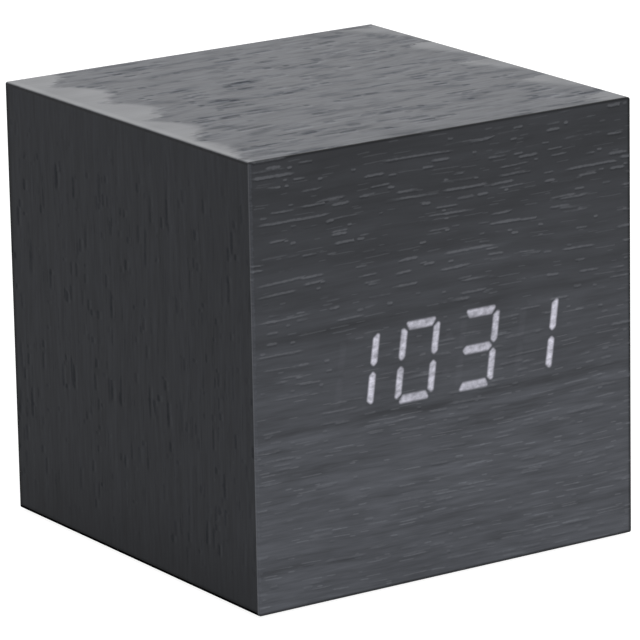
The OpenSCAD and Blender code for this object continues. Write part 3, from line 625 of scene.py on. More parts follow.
@dataclass(frozen=True)
class Moulded:
    """Moulded plastic or rubber with a fine spark-eroded grain, in millimetres, and light scuffs."""

    name: str
    colour: str
    rough: float = 0.5
    grain: float = 0.3
    depth: float = 0.012
    scuff: float = 0.25
    glow: float = 0.0

    def make(self) -> Material:
        """Builds the material.

        Returns:
            The material.
        """
        finish = Finish(self.name, Specular_IOR_Level=0.4)
        n = finish.nodes
        x, y, z = n.place()
        here = n.join(x, y, z)
        tooth = n.noise(here, 1 / self.grain, 2.0, 0.6) - 0.5
        cloud = n.noise(here, 0.09, 3.0, 0.6) - 0.5
        rubbed = n.noise(n.join(x / 7 + z / 11, y / 3, z / 0.3 + x / 2.1), 1.0, 3.0, 0.55).step(0.62, 0.8)
        paler = (0.2 + tooth * 0.6 + cloud * 0.5 + rubbed * self.scuff).clamp()
        finish.feed("Base Color", n.mix(paler, linear(self.colour), linear(self.colour, 1.7, 0.02)))
        finish.feed("Roughness", self.rough + cloud * 0.14 + tooth * 0.1 - rubbed * 0.1)
        finish.bump(tooth + 0.5, self.depth)
        if self.glow:
            finish.glow(n.grey(0.9 + tooth * 0.2, (0.85, 0.86, 1.0)), self.glow)
        return finish.material


@dataclass(frozen=True)
class Metal:
    """Plated or drawn metal with fine brush lines, in millimetres, and a little tarnish."""

    name: str
    colour: str
    rough: float = 0.3
    lines: Place = (0.12, 0.12, 2.5)
    depth: float = 0.004

    def make(self) -> Material:
        """Builds the material.

        Returns:
            The material.
        """
        finish = Finish(self.name, Metallic=1.0)
        n = finish.nodes
        here = n.place()
        brush = n.noise(n.join(*(part / size for part, size in zip(here, self.lines))), 1.0, 2.0, 0.6) - 0.5
        cloud = n.noise(n.join(*here), 0.5, 3.0, 0.6) - 0.5
        tarnish = (0.25 + brush * 0.5 + cloud * 0.8).clamp()
        finish.feed("Base Color", n.mix(tarnish, linear(self.colour), linear(self.colour, 0.55)))
        finish.feed("Roughness", self.rough + brush * 0.12 + cloud * 0.2)
        finish.bump(brush + 0.5, self.depth)
        return finish.material


@dataclass(frozen=True)
class Fibreboard:
    """Brown fibreboard, brushed black on its rear edges."""

    painted_from: float = 39.7
    depth: float = 0.05

    def make(self) -> Material:
        """Builds the material.

        Returns:
            The material.
        """
        finish = Finish("fibreboard", Specular_IOR_Level=0.25)
        n = finish.nodes
        x, y, z = n.place()
        here = n.join(x, y, z)
        fluff = n.noise(here, 2.6, 4.0, 0.65)
        layer = n.noise(here, 0.35) - 0.5
        brushed = (y + (fluff - 0.5) * 0.5).step(self.painted_from - 0.2, self.painted_from + 0.1)
        raw = n.mix((fluff * 1.4 - 0.2 + layer * 0.5).clamp(), linear("#4a3a2b"), linear("#7d6750"))
        black = n.mix((fluff * 1.2 - 0.2).clamp(), linear("#1d1e20"), linear("#303236"))
        finish.feed("Base Color", n.mix(brushed, raw, black))
        finish.feed("Roughness", 0.92 - brushed * 0.3 + layer * 0.1)
        finish.bump(fluff, self.depth)
        return finish.material


@dataclass(frozen=True)
class Laminate:
    """Circuit board: green mask over copper runs, with tinned pads."""

    name: str
    run: float = 1.27
    pitch: float = 2.54
    depth: float = 0.03

    def make(self) -> Material:
        """Builds the material.

        Returns:
            The material.
        """
        finish = Finish(self.name, Coat_Roughness=0.2)
        n = finish.nodes
        x, y, z = n.place()
        lane = z / self.run
        hop = n.noise(n.join(x / 9, lane.math("FLOOR") * 3.7), 1.0, 0.0).step(0.46, 0.5)
        track = abs(lane.math("FRACT") - 0.5).step(0.24, 0.17) * hop
        column, row = x / self.pitch, z / self.pitch
        spot = radius_of(column.math("FRACT") - 0.5, row.math("FRACT") - 0.5).step(0.26, 0.22)
        pick = n.noise(n.join(column.math("FLOOR") * 5.1, row.math("FLOOR") * 7.3), 1.0, 0.0)
        pad = spot * pick.step(0.6, 0.62)
        weave = n.noise(n.join(x / 0.4, y, z / 0.4), 1.0, 1.0) - 0.5
        green = n.mix((track * 0.8 + weave * 0.2).clamp(), linear("#123c28"), linear("#2c6b45"))
        finish.feed("Base Color", n.mix(pad, green, linear("#c9c7bd")))
        finish.feed("Metallic", pad)
        finish.feed("Roughness", 0.42 + weave * 0.1 - pad * 0.1)
        finish.feed("Coat Weight", (0.5 - pad * 0.5).clamp())
        finish.bump((track * 0.6 + pad + weave * 0.2) * 0.5, self.depth)
        return finish.material


@dataclass(frozen=True)
class TwoPart:
    """A small component in two finishes that meet at a mask, such as epoxy and its tinned legs."""

    name: str
    body: str
    trim: str
    mask: Callable[[Value, Value, Value], Value]
    rough: float = 0.5
    trim_rough: float = 0.3
    metal: float = 1.0
    depth: float = 0.01

    def make(self) -> Material:
        """Builds the material.

        Returns:
            The material.
        """
        finish = Finish(self.name, Specular_IOR_Level=0.4)
        n = finish.nodes
        here = n.place()
        trim = self.mask(*here)
        tooth = n.noise(n.join(*here), 3.0, 3.0, 0.6) - 0.5
        body = n.mix((0.5 + tooth).clamp(), linear(self.body), linear(self.body, 1.5, 0.01))
        worn = n.mix((0.4 + tooth).clamp(), linear(self.trim), linear(self.trim, 0.6))
        finish.feed("Base Color", n.mix(trim, body, worn))
        finish.feed("Metallic", trim * self.metal)
        finish.feed("Roughness", self.rough + trim * (self.trim_rough - self.rough) + tooth * 0.12)
        finish.bump(tooth + 0.5, self.depth)
        return finish.material


class Dressing(Protocol):
    """Any finish that builds its own material."""

    def make(self) -> Material:
        """Builds the material."""


def put(name: str, data: bpy.types.ID) -> Object:
    """Makes an object and links it to the scene.

    Args:
        name: Its name.
        data: Its mesh, camera or lamp.

    Returns:
        The object, at the origin.
    """
    made = bpy.data.objects.new(name, data)
    bpy.context.scene.collection.objects.link(made)
    return made


def new_piece(name: str, verts: Sequence[Sequence[float]], faces: Sequence[Sequence[int]]) -> Object:
    """Makes a mesh object at the origin.

    Args:
        name: The piece's name.
        verts: Corners in millimetres.
        faces: Corner numbers of each face.

    Returns:
        The object, linked to the scene.
    """
    mesh = bpy.data.meshes.new(name)
    mesh.from_pydata([Vector(v) * MM for v in verts], [], [list(f) for f in faces])
    mesh.update()
    return put(name, mesh)


def settle(piece: Object, material: Material, body: str, slot: str, *nodes: str) -> None:
    """Dresses a finished piece, puts it on its body and reports it.

    Args:
        piece: The piece.
        material: Its finish.
        body: The body it rides on.
        slot: The record's material slot, which is not used.
        nodes: CAD nodes that it stands for.
    """
    if not piece.data.materials:
        piece.data.materials.append(material)
    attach(piece, body)
    if nodes:
        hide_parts(*nodes)
    LOG.info("%s: %d faces, rides on %s", piece.name, len(piece.data.polygons), body)


def paint(finish: Dressing, *nodes: str) -> Material:
    """Builds a finish and gives it to CAD nodes.

    Args:
        finish: The finish.
        nodes: Names of the CAD nodes.

    Returns:
        The material, for pieces that share it.
    """
    material = finish.make()
    for name in nodes:
        mesh = frame["nodes"][name].data
        mesh.materials.clear()
        mesh.materials.append(material)
        LOG.info("%s: CAD solid in %s", name, material.name)
    return material


def span_of(node: str) -> tuple[Vector, Vector, Vector]:
    """A CAD node's lowest corner, middle and highest corner, in millimetres."""
    low, high = (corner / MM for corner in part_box(node))
    return low, (low + high) / 2, high


def baked(piece: Object) -> bpy.types.Mesh:
    """What a piece's modifiers make of it, as a plain mesh."""
    depsgraph = bpy.context.evaluated_depsgraph_get()
    return bpy.data.meshes.new_from_object(piece.evaluated_get(depsgraph), depsgraph=depsgraph)


def face_outwards(piece: Object, merge: float = 0.0) -> None:
    """Turns the faces of a closed mesh outwards.

    Args:
        piece: The piece.
        merge: Corners closer than this are merged first, in metres.
    """
    work = bmesh.new()
    work.from_mesh(piece.data)
    if merge:
        bmesh.ops.remove_doubles(work, verts=work.verts, dist=merge)
    bmesh.ops.recalc_face_normals(work, faces=work.faces)
    work.to_mesh(piece.data)
    work.free()


def smooth(piece: Object, angle: float = 35.0) -> Object:
    """Turns faces outwards and shades rounded forms smooth.

    Args:
        piece: A piece with a closed mesh.
        angle: Edges sharper than this stay sharp, in degrees.

    Returns:
        The same piece.
    """
    face_outwards(piece, 1e-7)
    piece.data.shade_smooth()
    piece.data.set_sharp_from_angle(angle=math.radians(angle))
    return piece


def bar_outlines(node: str) -> list[Outline]:
    """Finds the outlines of light bars on their front faces.

    Args:
        node: A CAD node of light bars.

    Returns:
        One closed convex outline for each bar, anticlockwise, in millimetres of X and Z.
    """
    work = bmesh.new()
    work.from_mesh(frame["nodes"][node].data)
    bmesh.ops.remove_doubles(work, verts=work.verts, dist=1e-6)
    front = min(v.co.y for v in work.verts)
    left = {v for v in work.verts if v.co.y < front + 1e-5}
    found: list[Outline] = []
    while left:
        group, queue = set(), [left.pop()]
        while queue:
            at = queue.pop()
            group.add(at)
            for edge in at.link_edges:
                other = edge.other_vert(at)
                if other in left:
                    left.discard(other)
                    queue.append(other)
        found.append(anticlockwise([(v.co.x / MM, v.co.z / MM) for v in group]))
    work.free()
    return sorted(found)


def middle(points: Sequence[Point]) -> Point:
    """The mean of some points."""
    return sum(p[0] for p in points) / len(points), sum(p[1] for p in points) / len(points)


def anticlockwise(points: Sequence[Point]) -> Outline:
    """The corners of a convex outline, put in order."""
    mid = middle(points)
    return sorted(points, key=lambda p: math.atan2(p[1] - mid[1], p[0] - mid[0]))


def distance(outline: Outline, p: Point) -> float:
    """Signed distance from a convex outline, negative inside.

    Args:
        outline: The outline, anticlockwise.
        p: The point.

    Returns:
        The distance in millimetres.
    """
    best, inside = 1e9, True
    for a, b in zip(outline, outline[1:] + outline[:1]):
        ex, ez = b[0] - a[0], b[1] - a[1]
        px, pz = p[0] - a[0], p[1] - a[1]
        t = max(0.0, min(1.0, (px * ex + pz * ez) / (ex * ex + ez * ez)))
        best = min(best, math.hypot(px - t * ex, pz - t * ez))
        inside = inside and ex * pz - ez * px >= 0
    return -best if inside else best


def grown(outline: Outline, offset: float) -> Outline:
    """An outline grown or shrunk by an even offset, with round corners where it grows.

    Args:
        outline: A convex outline, anticlockwise.
        offset: Millimetres outwards, or inwards where it is negative.

    Returns:
        The new outline.
    """
    made = []
    for a, b, c in zip(outline[-1:] + outline, outline, outline[1:] + outline[:1]):
        d0 = Vector((b[0] - a[0], b[1] - a[1])).normalized()
        d1 = Vector((c[0] - b[0], c[1] - b[1])).normalized()
        n0, n1 = Vector((d0.y, -d0.x)), Vector((d1.y, -d1.x))
        if offset > 0:
            start, sweep = math.atan2(n0.y, n0.x), math.atan2(n0.cross(n1), n0.dot(n1))
            steps = max(1, round(abs(sweep) / 0.5))
            turns = [start + sweep * k / steps for k in range(steps + 1)]
            made += [(b[0] + offset * math.cos(turn), b[1] + offset * math.sin(turn)) for turn in turns]
        else:
            mitre = (n0 + n1) / (1 + n0.dot(n1))
            made.append((b[0] + offset * mitre.x, b[1] + offset * mitre.y))
    return made


def lathe(name: str, profile: Sequence[Point], axis: Axis = Axis.Y, steps: int = 32) -> Object:
    """Turns a profile about an axis through the origin.

    Args:
        name: The piece's name.
        profile: Radius and place along the axis, from one pole to the other, in millimetres.
        axis: The axis it turns about.
        steps: Faces round it.

    Returns:
        The closed piece.
    """
    verts: list[list[float]] = []
    rings: list[list[int]] = []
    for radius, height in profile:
        count = 1 if radius == 0 else steps
        rings.append(list(range(len(verts), len(verts) + count)))
        for k in range(count):
            turn = math.tau * k / steps
            vert = [radius * math.cos(turn), radius * math.sin(turn)]
            vert.insert(axis.value, height)
            verts.append(vert)
    faces = []
    for low, high in zip(rings, rings[1:]):
        for k in range(steps):
            after = k + 1
            loop = [low[k % len(low)], low[after % len(low)], high[after % len(high)], high[k % len(high)]]
            faces.append(list(dict.fromkeys(loop)))
    return smooth(new_piece(name, verts, faces))


def prism(name: str, ends: Sequence[Sequence[Place]], angle: float) -> Object:
    """Joins two outlines of equally many corners into a closed solid.

    Args:
        name: The piece's name.
        ends: The corners of both ends, in the same order, in millimetres.
        angle: Edges sharper than this stay sharp, in degrees.

    Returns:
        The piece.
    """
    count = len(ends[0])
    faces = [list(range(count)), list(range(2 * count - 1, count - 1, -1))]
    faces += [[k, (k + 1) % count, count + (k + 1) % count, count + k] for k in range(count)]
    return smooth(new_piece(name, [*ends[0], *ends[1]], faces), angle)


def plate(name: str, outline: Sequence[Point], y0: float, y1: float) -> Object:
    """A flat outline in X and Z, made solid from y0 to y1."""
    return prism(name, [[(px, y, pz) for px, pz in outline] for y in (y0, y1)], angle=20.0)


class Rule:
    """A Geometry Nodes tree with named inputs, run once so that it leaves a plain mesh."""

    KINDS = {
        int: "NodeSocketInt",
        float: "NodeSocketFloat",
        tuple: "NodeSocketVector",
        Object: "NodeSocketObject",
        Material: "NodeSocketMaterial",
    }

    def __init__(self, name: str, **inputs: Any) -> None:
        """Starts a tree.

        Args:
            name: The tree's name.
            inputs: Its named inputs with their values. One of them is the Finish.
        """
        self.tree = bpy.data.node_groups.new(name, "GeometryNodeTree")
        self.nodes = Nodes(self.tree)
        self.inputs = inputs
        self.ids: dict[str, str] = {}
        for label, value in inputs.items():
            kind = next(k for t, k in self.KINDS.items() if isinstance(value, t))
            socket = self.tree.interface.new_socket(label, in_out="INPUT", socket_type=kind)
            self.ids[label] = socket.identifier
        self.tree.interface.new_socket("Geometry", in_out="OUTPUT", socket_type="NodeSocketGeometry")
        self.source = self.nodes.node("NodeGroupInput")

    def get(self, label: str) -> Value:
        """One of the tree's inputs."""
        return Value(self.nodes, self.source.outputs[label])

    def shape(self, kind: str, **sockets: Any) -> Socket:
        """Adds a node that makes geometry, with underscores for spaces in its sockets' names."""
        named = {label.replace("_", " "): value for label, value in sockets.items()}
        return self.nodes.node(f"GeometryNode{kind}", None, named).outputs[0]

    def copy_of(self, label: str) -> Socket:
        """The geometry of an object that is an input."""
        info = self.nodes.node("GeometryNodeObjectInfo", None, {"Object": self.get(label)})
        return info.outputs["Geometry"]

    def grow(self, name: str, geometry: Socket) -> Object:
        """Ends the tree, runs it and keeps the result as a plain mesh.

        Args:
            name: The piece's name.
            geometry: What the tree made.

        Returns:
            The piece.
        """
        real = self.shape("RealizeInstances", Geometry=geometry)
        dressed = self.shape("SetMaterial", Geometry=real, Material=self.get("Finish"))
        self.nodes.node("NodeGroupOutput", None, {0: dressed})
        seed = new_piece(f"{name}_seed", [], [])
        modifier = seed.modifiers.new("rule", "NODES")
        modifier.node_group = self.tree
        for label, value in self.inputs.items():
            modifier[self.ids[label]] = value
        mesh = baked(seed)
        seed.modifiers.remove(modifier)
        bpy.data.objects.remove(seed)
        mesh.name = name
        piece = put(name, mesh)
        for label in ("Template", "Path"):
            if label in self.inputs:
                bpy.data.objects.remove(self.inputs[label])
        return piece


def grid_of(
    name: str,
    template: Object,
    finish: Material,
    centre: Sequence[float],
    size: Point,
    counts: tuple[int, int] = (2, 2),
    upright: bool = True,
) -> Object:
    """Repeats a template over a grid.

    Args:
        name: The piece's name.
        template: What is repeated.
        finish: Its material.
        centre: Middle of the grid, in millimetres.
        size: Width and height of the grid.
        counts: Columns and rows.
        upright: True for a grid in X and Z, False for one in X and Y.

    Returns:
        The piece.
    """
    rule = Rule(
        f"{name}_grid", Width=size[0] * MM, Height=size[1] * MM, Columns=counts[0], Rows=counts[1],
        Middle=tuple(c * MM for c in centre), Template=template, Finish=finish,
    )
    grid = rule.shape(
        "MeshGrid", Size_X=rule.get("Width"), Size_Y=rule.get("Height"),
        Vertices_X=rule.get("Columns"), Vertices_Y=rule.get("Rows"),
    )
    turn = (math.pi / 2 if upright else 0.0, 0.0, 0.0)
    placed = rule.shape("Transform", Geometry=grid, Translation=rule.get("Middle"), Rotation=turn)
    return rule.grow(name, rule.shape("InstanceOnPoints", Points=placed, Instance=rule.copy_of("Template")))


def alternating_row(
    name: str,
    template: Object,
    finish: Material,
    start: Sequence[float],
    count: int,
    pitch: float,
    reach: float,
) -> Object:
    """Repeats a template up a row, every other one turned end for end.

    Args:
        name: The piece's name.
        template: What is repeated, lying along +X from its own origin.
        finish: Its material.
        start: Middle of the first place, in millimetres.
        count: How many there are.
        pitch: Step between them.
        reach: How far each starts from the middle.

    Returns:
        The piece.
    """
    rule = Rule(
        f"{name}_row", Start=tuple(c * MM for c in start), Count=count, Pitch=pitch * MM, Reach=reach * MM,
        Template=template, Finish=finish,
    )
    n = rule.nodes
    step = n.join(0.0, 0.0, rule.get("Pitch"))
    line = rule.shape("MeshLine", Count=rule.get("Count"), Start_Location=rule.get("Start"), Offset=step)
    odd = n.read("GeometryNodeInputIndex", {}, {}).math("MODULO", 2.0)
    aside = n.join((odd * 2.0 - 1.0) * rule.get("Reach"), 0.0, 0.0)
    moved = rule.shape("SetPosition", Geometry=line, Offset=aside)
    turn = n.join(0.0, 0.0, odd * math.pi)
    return rule.grow(
        name, rule.shape("InstanceOnPoints", Points=moved, Instance=rule.copy_of("Template"), Rotation=turn)
    )


def coil(
    finish: Material, turns: float, foot: float, tip: float, length: float, wire: float, lift: float
) -> Object:
    """Winds one conical contact spring along +X.

    Args:
        finish: Its material.
        turns: Its turns.
        foot: Radius at its foot, in millimetres.
        tip: Radius at its tip.
        length: Length over the middle line of its wire.
        wire: Thickness of its wire.
        lift: Where its middle line starts.

    Returns:
        A template.
    """
    rule = Rule(
        "spring_coil", Turns=turns, Foot=foot * MM, Tip=tip * MM, Length=length * MM, Wire=wire / 2 * MM,
        Lift=(lift * MM, 0.0, 0.0), Finish=finish,
    )
    path = rule.shape(
        "CurveSpiral", Resolution=24, Rotations=rule.get("Turns"), Start_Radius=rule.get("Foot"),
        End_Radius=rule.get("Tip"), Height=rule.get("Length"),
    )
    ring = rule.shape("CurvePrimitiveCircle", Resolution=10, Radius=rule.get("Wire"))
    swept = rule.shape("CurveToMesh", Curve=path, Profile_Curve=ring, Fill_Caps=True)
    turn = (0.0, math.pi / 2, 0.0)
    laid = rule.shape("Transform", Geometry=swept, Translation=rule.get("Lift"), Rotation=turn)
    return rule.grow("spring_template", laid)


def sleeve(
    name: str,
    path: Sequence[Sequence[float]],
    finish: Material,
    wire: float,
    bend: float = 0.0,
    count: int = 1,
    pitch: float = 0.0,
) -> Object:
    """Draws one insulated wire, or a flat ribbon of several, along a path.

    Args:
        name: The piece's name.
        path: Points of the path, in millimetres.
        finish: Its material.
        wire: Diameter of a wire.
        bend: Radius of the bends at the path's points.
        count: Wires side by side.
        pitch: Step from one wire to the next.

    Returns:
        The piece.
    """
    route = new_piece(f"{name}_path", [], [])
    route.data.from_pydata([Vector(p) * MM for p in path], [(k, k + 1) for k in range(len(path) - 1)], [])
    rule = Rule(
        f"{name}_sleeve", Path=route, Bend=bend * MM, Wire=wire / 2 * MM, Count=count, Pitch=pitch * MM,
        Finish=finish,
    )
    n = rule.nodes
    line = rule.shape("MeshToCurve", Mesh=rule.copy_of("Path"))
    eased = n.node("GeometryNodeFilletCurve", {"mode": "POLY"}, {
        "Curve": line, "Radius": rule.get("Bend"), "Count": 8,
    })
    level = n.node("GeometryNodeSetCurveNormal", {"mode": "Z_UP"}, {"Curve": eased.outputs[0]})
    first = n.join(rule.get("Pitch") * (rule.get("Count") - 1.0) * -0.5, 0.0, 0.0)
    step = n.join(rule.get("Pitch"), 0.0, 0.0)
    row = rule.shape("MeshLine", Count=rule.get("Count"), Start_Location=first, Offset=step)
    ring = rule.shape("CurvePrimitiveCircle", Resolution=12, Radius=rule.get("Wire"))
    rings = rule.shape("RealizeInstances", Geometry=rule.shape("InstanceOnPoints", Points=row, Instance=ring))
    return rule.grow(
        name, rule.shape("CurveToMesh", Curve=level.outputs[0], Profile_Curve=rings, Fill_Caps=True)
    )


@dataclass
class PanHead:
    """A pan-head screw with a cross recess, its seat at the origin and its head along Y.

    The recess is given at its floor and at its mouth, as shares of the head: height, reach and girth.
    """

    length: float
    head: float = 4.2
    rise: float = 1.6
    shank: float = 2.2
    way: int = 1
    point: float = 1.4
    twist: float = 0.6
    crown: tuple[float, ...] = (1.3, 1.05, 0.75, 0.45)
    recess: tuple[Place, ...] = ((0.3, 0.12, 0.04), (1.2, 0.31, 0.085))

    def arm(self, turn: float) -> Object:
        """One tapered arm of the recess, as a cutter.

        Args:
            turn: Its angle about the screw's axis.

        Returns:
            The cutter.
        """
        c, s = math.cos(turn), math.sin(turn)
        ends = []
        for share, reach, girth in self.recess:
            long, wide = reach * self.head, girth * self.head
            corners = [(-long, -wide), (long, -wide), (long, wide), (-long, wide)]
            ends.append([(px * c - pz * s, self.rise * share, px * s + pz * c) for px, pz in corners])
        return prism("recess_arm", ends, angle=35.0)

    def make(self) -> Object:
        """Turns the screw and cuts its recess.

        Returns:
            A template.
        """
        r, h, s, end = self.head / 2, self.rise, self.shank / 2, -self.length
        shaft = [(0.0, end), (s * 0.35, end + 0.1), (s, end + self.point), (s, 0.0), (r, 0.0)]
        crown = [(r * math.sin(a), h * (0.62 + 0.38 * math.cos(a))) for a in self.crown]
        body = lathe("pan_head", [*shaft, (r, h * 0.55), *crown, (0.0, h)], steps=28)
        arms = [self.arm(turn) for turn in (self.twist, self.twist + math.pi / 2)]
        for arm in arms:
            cut = body.modifiers.new("recess", "BOOLEAN")
            cut.operation, cut.object, cut.solver = "DIFFERENCE", arm, "EXACT"
        body.data = baked(body)
        body.modifiers.clear()
        for arm in arms:
            bpy.data.objects.remove(arm)
        if self.way < 0:
            body.data.transform(Matrix.Rotation(math.pi, 4, "Z"))
        return smooth(body, angle=30.0)

    def set_of(self, name: str, finish: Material, slot: str, node: str, rows: int = 2) -> None:
        """Puts the screws where a CAD node has them, in two columns.

        Args:
            name: The piece's name.
            finish: Its material.
            slot: The record's material slot.
            node: The CAD node, which they replace.
            rows: Rows of screws.
        """
        low, mid, high = span_of(node)
        seat = high.y - self.rise if self.way > 0 else low.y + self.rise
        size = (high.x - low.x - self.head, high.z - low.z - self.head if rows > 1 else 0.0)
        made = grid_of(name, self.make(), finish, (mid.x, seat, mid.z), size, (2, rows))
        settle(made, finish, "case", slot, node)


@dataclass
class VeneeredCase:
    """The five veneer sheets over their fibreboard panels.

    Light comes through the front sheet over each bar: full from core within the bar's edge, and gone at bleed
    past it.
    """

    edge: float = 0.4
    edge_steps: int = 5
    corner_steps: int = 4
    rings: tuple[float, ...] = (-0.3, -0.16, -0.02, 0.12, 0.26)
    core: float = 0.3
    bleed: float = 0.26
    tip: float = 0.32
    ghost: float = 0.012
    sparse_light: float = 0.96
    upright_light: float = 0.86
    level_light: float = 0.73
    swell: float = 0.05
    stretch: float = 1.03
    level_from: float = 4.0
    digit_reach: float = 5.0
    point_place: float = 0.62
    point_reach: float = 0.43
    shoulders: Point = (-0.1, 0.2)

    def outline(self, inset: float) -> Outline:
        """The front sheet's outline, drawn in by a distance.

        Args:
            inset: Millimetres in from the outer faces.

        Returns:
            A closed rounded rectangle, anticlockwise seen from the front.
        """
        low, _, high = span_of("front_veneer")
        radius = self.edge - inset
        left, right = low.x + self.edge, high.x - self.edge
        foot, head = low.z + self.edge, high.z - self.edge
        made = []
        for cx, cz, turn in ((right, foot, -90), (right, head, 0), (left, head, 90), (left, foot, 180)):
            for k in range(self.corner_steps + 1):
                angle = math.radians(turn + 90 * k / self.corner_steps)
                made.append((cx + radius * math.cos(angle), cz + radius * math.sin(angle)))
        return made

    def pointed(self, bar: Outline, way: int) -> Outline:
        """An upright bar as it shows through the sheet, its outer end drawn out to a blunt point.

        Args:
            bar: The bar's outline.
            way: 1 if its outer end is the upper one and -1 if it is the lower one.

        Returns:
            The new outline, anticlockwise.
        """
        order = [Vector(p) for p in sorted(bar, key=lambda p: -way * p[1])]
        outer, inner, root = order[0], order[1], order[-1]
        along = ((outer + inner) / 2 - root).normalized()
        point = inner.lerp(outer, self.point_place) + along * self.point_reach
        ends = [outer + along * self.shoulders[0], point, inner + along * self.shoulders[1]]
        return anticlockwise([(p.x, p.y) for p in order[2:] + ends])

    def shown(self, bars: list[Outline]) -> Bars:
        """The lit bars as they show through the sheet. Those of a digit with few lit bars are the brightest.

        Args:
            bars: Outlines of the lit bars.

        Returns:
            Outlines, drawn in by the radius of their tips, each with its level of light.
        """
        mids = [middle(bar) for bar in bars]
        level = [max(p[0] for p in bar) - min(p[0] for p in bar) > self.level_from for bar in bars]
        heights = [p[1] for bar in bars for p in bar]
        halfway = (min(heights) + max(heights)) / 2
        made = []
        for bar, (mx, mz), lies in zip(bars, mids, level):
            if lies:
                shape = [(mx + (px - mx) * self.stretch, pz) for px, pz in bar]
                made.append((grown(shape, self.swell - self.tip), self.level_light))
                continue
            full = any(flat and abs(other[0] - mx) < self.digit_reach for other, flat in zip(mids, level))
            shape = self.pointed(bar, 1 if mz > halfway else -1)
            light = self.upright_light if full else self.sparse_light
            made.append((grown(shape, -self.swell - self.tip), light))
        return made

    def glow(self, p: Point, bars: Bars) -> float:
        """How much light comes through the front sheet.

        Args:
            p: A point of the front face.
            bars: Outlines of the bars, drawn in by the radius of their tips, with their levels.

        Returns:
            A bar's level over that bar, fading to 0 round it.
        """
        best = 0.0
        for outline, light in bars:
            near = distance(outline, p) - self.tip
            part = max(0.0, min(1.0, (self.bleed - near) / (self.core + self.bleed)))
            best = max(best, light * part * part * (3 - 2 * part))
        return best

    def divided(self, corners: Outline, bars: Bars) -> tuple[list[Vector], list[list[int]]]:
        """The flat front face, finely divided round each bar.

        Args:
            corners: Its four corners.
            bars: Outlines of the bars, drawn in by the radius of their tips, with their levels.

        Returns:
            Its points and its faces.
        """
        flat = [Vector(c) for c in corners]
        edges = [(k, (k + 1) % 4) for k in range(4)]
        for bar, _ in bars:
            for offset in self.rings:
                loop = grown(bar, self.tip + offset)
                edges += [(len(flat) + k, len(flat) + (k + 1) % len(loop)) for k in range(len(loop))]
                flat += [Vector(p) for p in loop]
        inside_only, closest = 1, 1e-5
        points, _, cells, *_ = delaunay_2d_cdt(flat, edges, [], inside_only, closest)
        return points, cells

    def front_sheet(self) -> Object:
        """Builds the front sheet with its rounded edges, and the light that comes through it as an attribute.

        Returns:
            The piece.
        """
        low, _, high = span_of("front_veneer")
        bars = self.shown(bar_outlines("lit_segments"))
        bars += [(grown(bar, -self.tip), self.ghost) for bar in bar_outlines("dark_segments")]
        levels = [(0.0, high.y), (0.0, low.y + self.edge)]
        for k in range(1, self.edge_steps):
            angle = math.radians(90 * k / self.edge_steps)
            levels.append((self.edge * (1 - math.cos(angle)), low.y + self.edge * (1 - math.sin(angle))))
        per = self.corner_steps + 1
        size = 4 * per
        verts = [(px, y, pz) for inset, y in levels for px, pz in self.outline(inset)]
        faces: list[list[int]] = []
        for first in range(0, len(verts) - size, size):
            for k in range(size):
                a, b = first + k, first + (k + 1) % size
                faces.append([a, b, b + size, a + size])
        faces.append(list(range(size - 1, -1, -1)))

        corners = self.outline(self.edge)[::per]
        points, cells = self.divided(corners, bars)
        last, first = len(verts) - size, len(verts)
        verts += [(p.x, low.y, p.y) for p in points]
        faces += [[first + k for k in cell] for cell in cells]

        # The flat face is joined to the rounded edges at its four corners
        spot = {(round(p.x, 4), round(p.y, 4)): first + i for i, p in enumerate(points)}
        ends = [spot[(round(c[0], 4), round(c[1], 4))] for c in corners]
        for side in range(4):
            start, after = last + side * per, (side + 1) % 4
            faces += [[start + k, start + k + 1, ends[side]] for k in range(self.corner_steps)]
            faces.append([start + self.corner_steps, last + after * per, ends[after], ends[side]])
        piece = new_piece("front_veneer_sheet", verts, faces)
        face_outwards(piece)
        layer = piece.data.attributes.new("glow", "FLOAT", "POINT")
        for i, p in enumerate(points):
            layer.data[first + i].value = self.glow((p.x, p.y), bars)
        return piece

    def build(self) -> None:
        """Makes the front sheet and dresses the others."""
        fascia = Veneer(Sheet.FRONT, dull=0.6, band=0.7, painted_lip_shading=-0.011, drift=3.0, contrast=3.4, flush=0.25)
        settle(self.front_sheet(), fascia.make(), "case", "veneer", "front_veneer")
        lid = Veneer(
            Sheet.TOP, tone=0.041, pores=BROAD_PORES, light=-0.002, fibre=0.12, grain=1.1, lip=0.9,
            painted_lip_shading=0.045, sunk=0.9, patch=(17.0, 6.0), contrast=2.7, streak=0.8, coat=0.797,
            tint=(0.9, 1.0, 1.25),
        )
        paint(lid, "top_veneer")
        # Painted shade: the side and bottom sheets are a darker copy of the veneer with little lacquer, for
        # the shade on the sides and underneath
        for sheet, specular in ((Sheet.BOTTOM, 0.0), (Sheet.LEFT, 0.05), (Sheet.RIGHT, 0.05)):
            shaded_skin = Veneer(
                sheet, tone=0.0326, pores=SLIM_PORES, light=-0.0014, fibre=0.1, grain=0.75, lip=0.8,
                painted_lip_shading=0.01, dense=0.12, streak=0.9, specular=specular, coat=0.06,
            )
            paint(shaded_skin, f"{sheet.name.lower()}_veneer")
        boards = [f"{sheet.name.lower()}_board" for sheet in Sheet]
        paint(Fibreboard(), *boards, "corner_cleats")


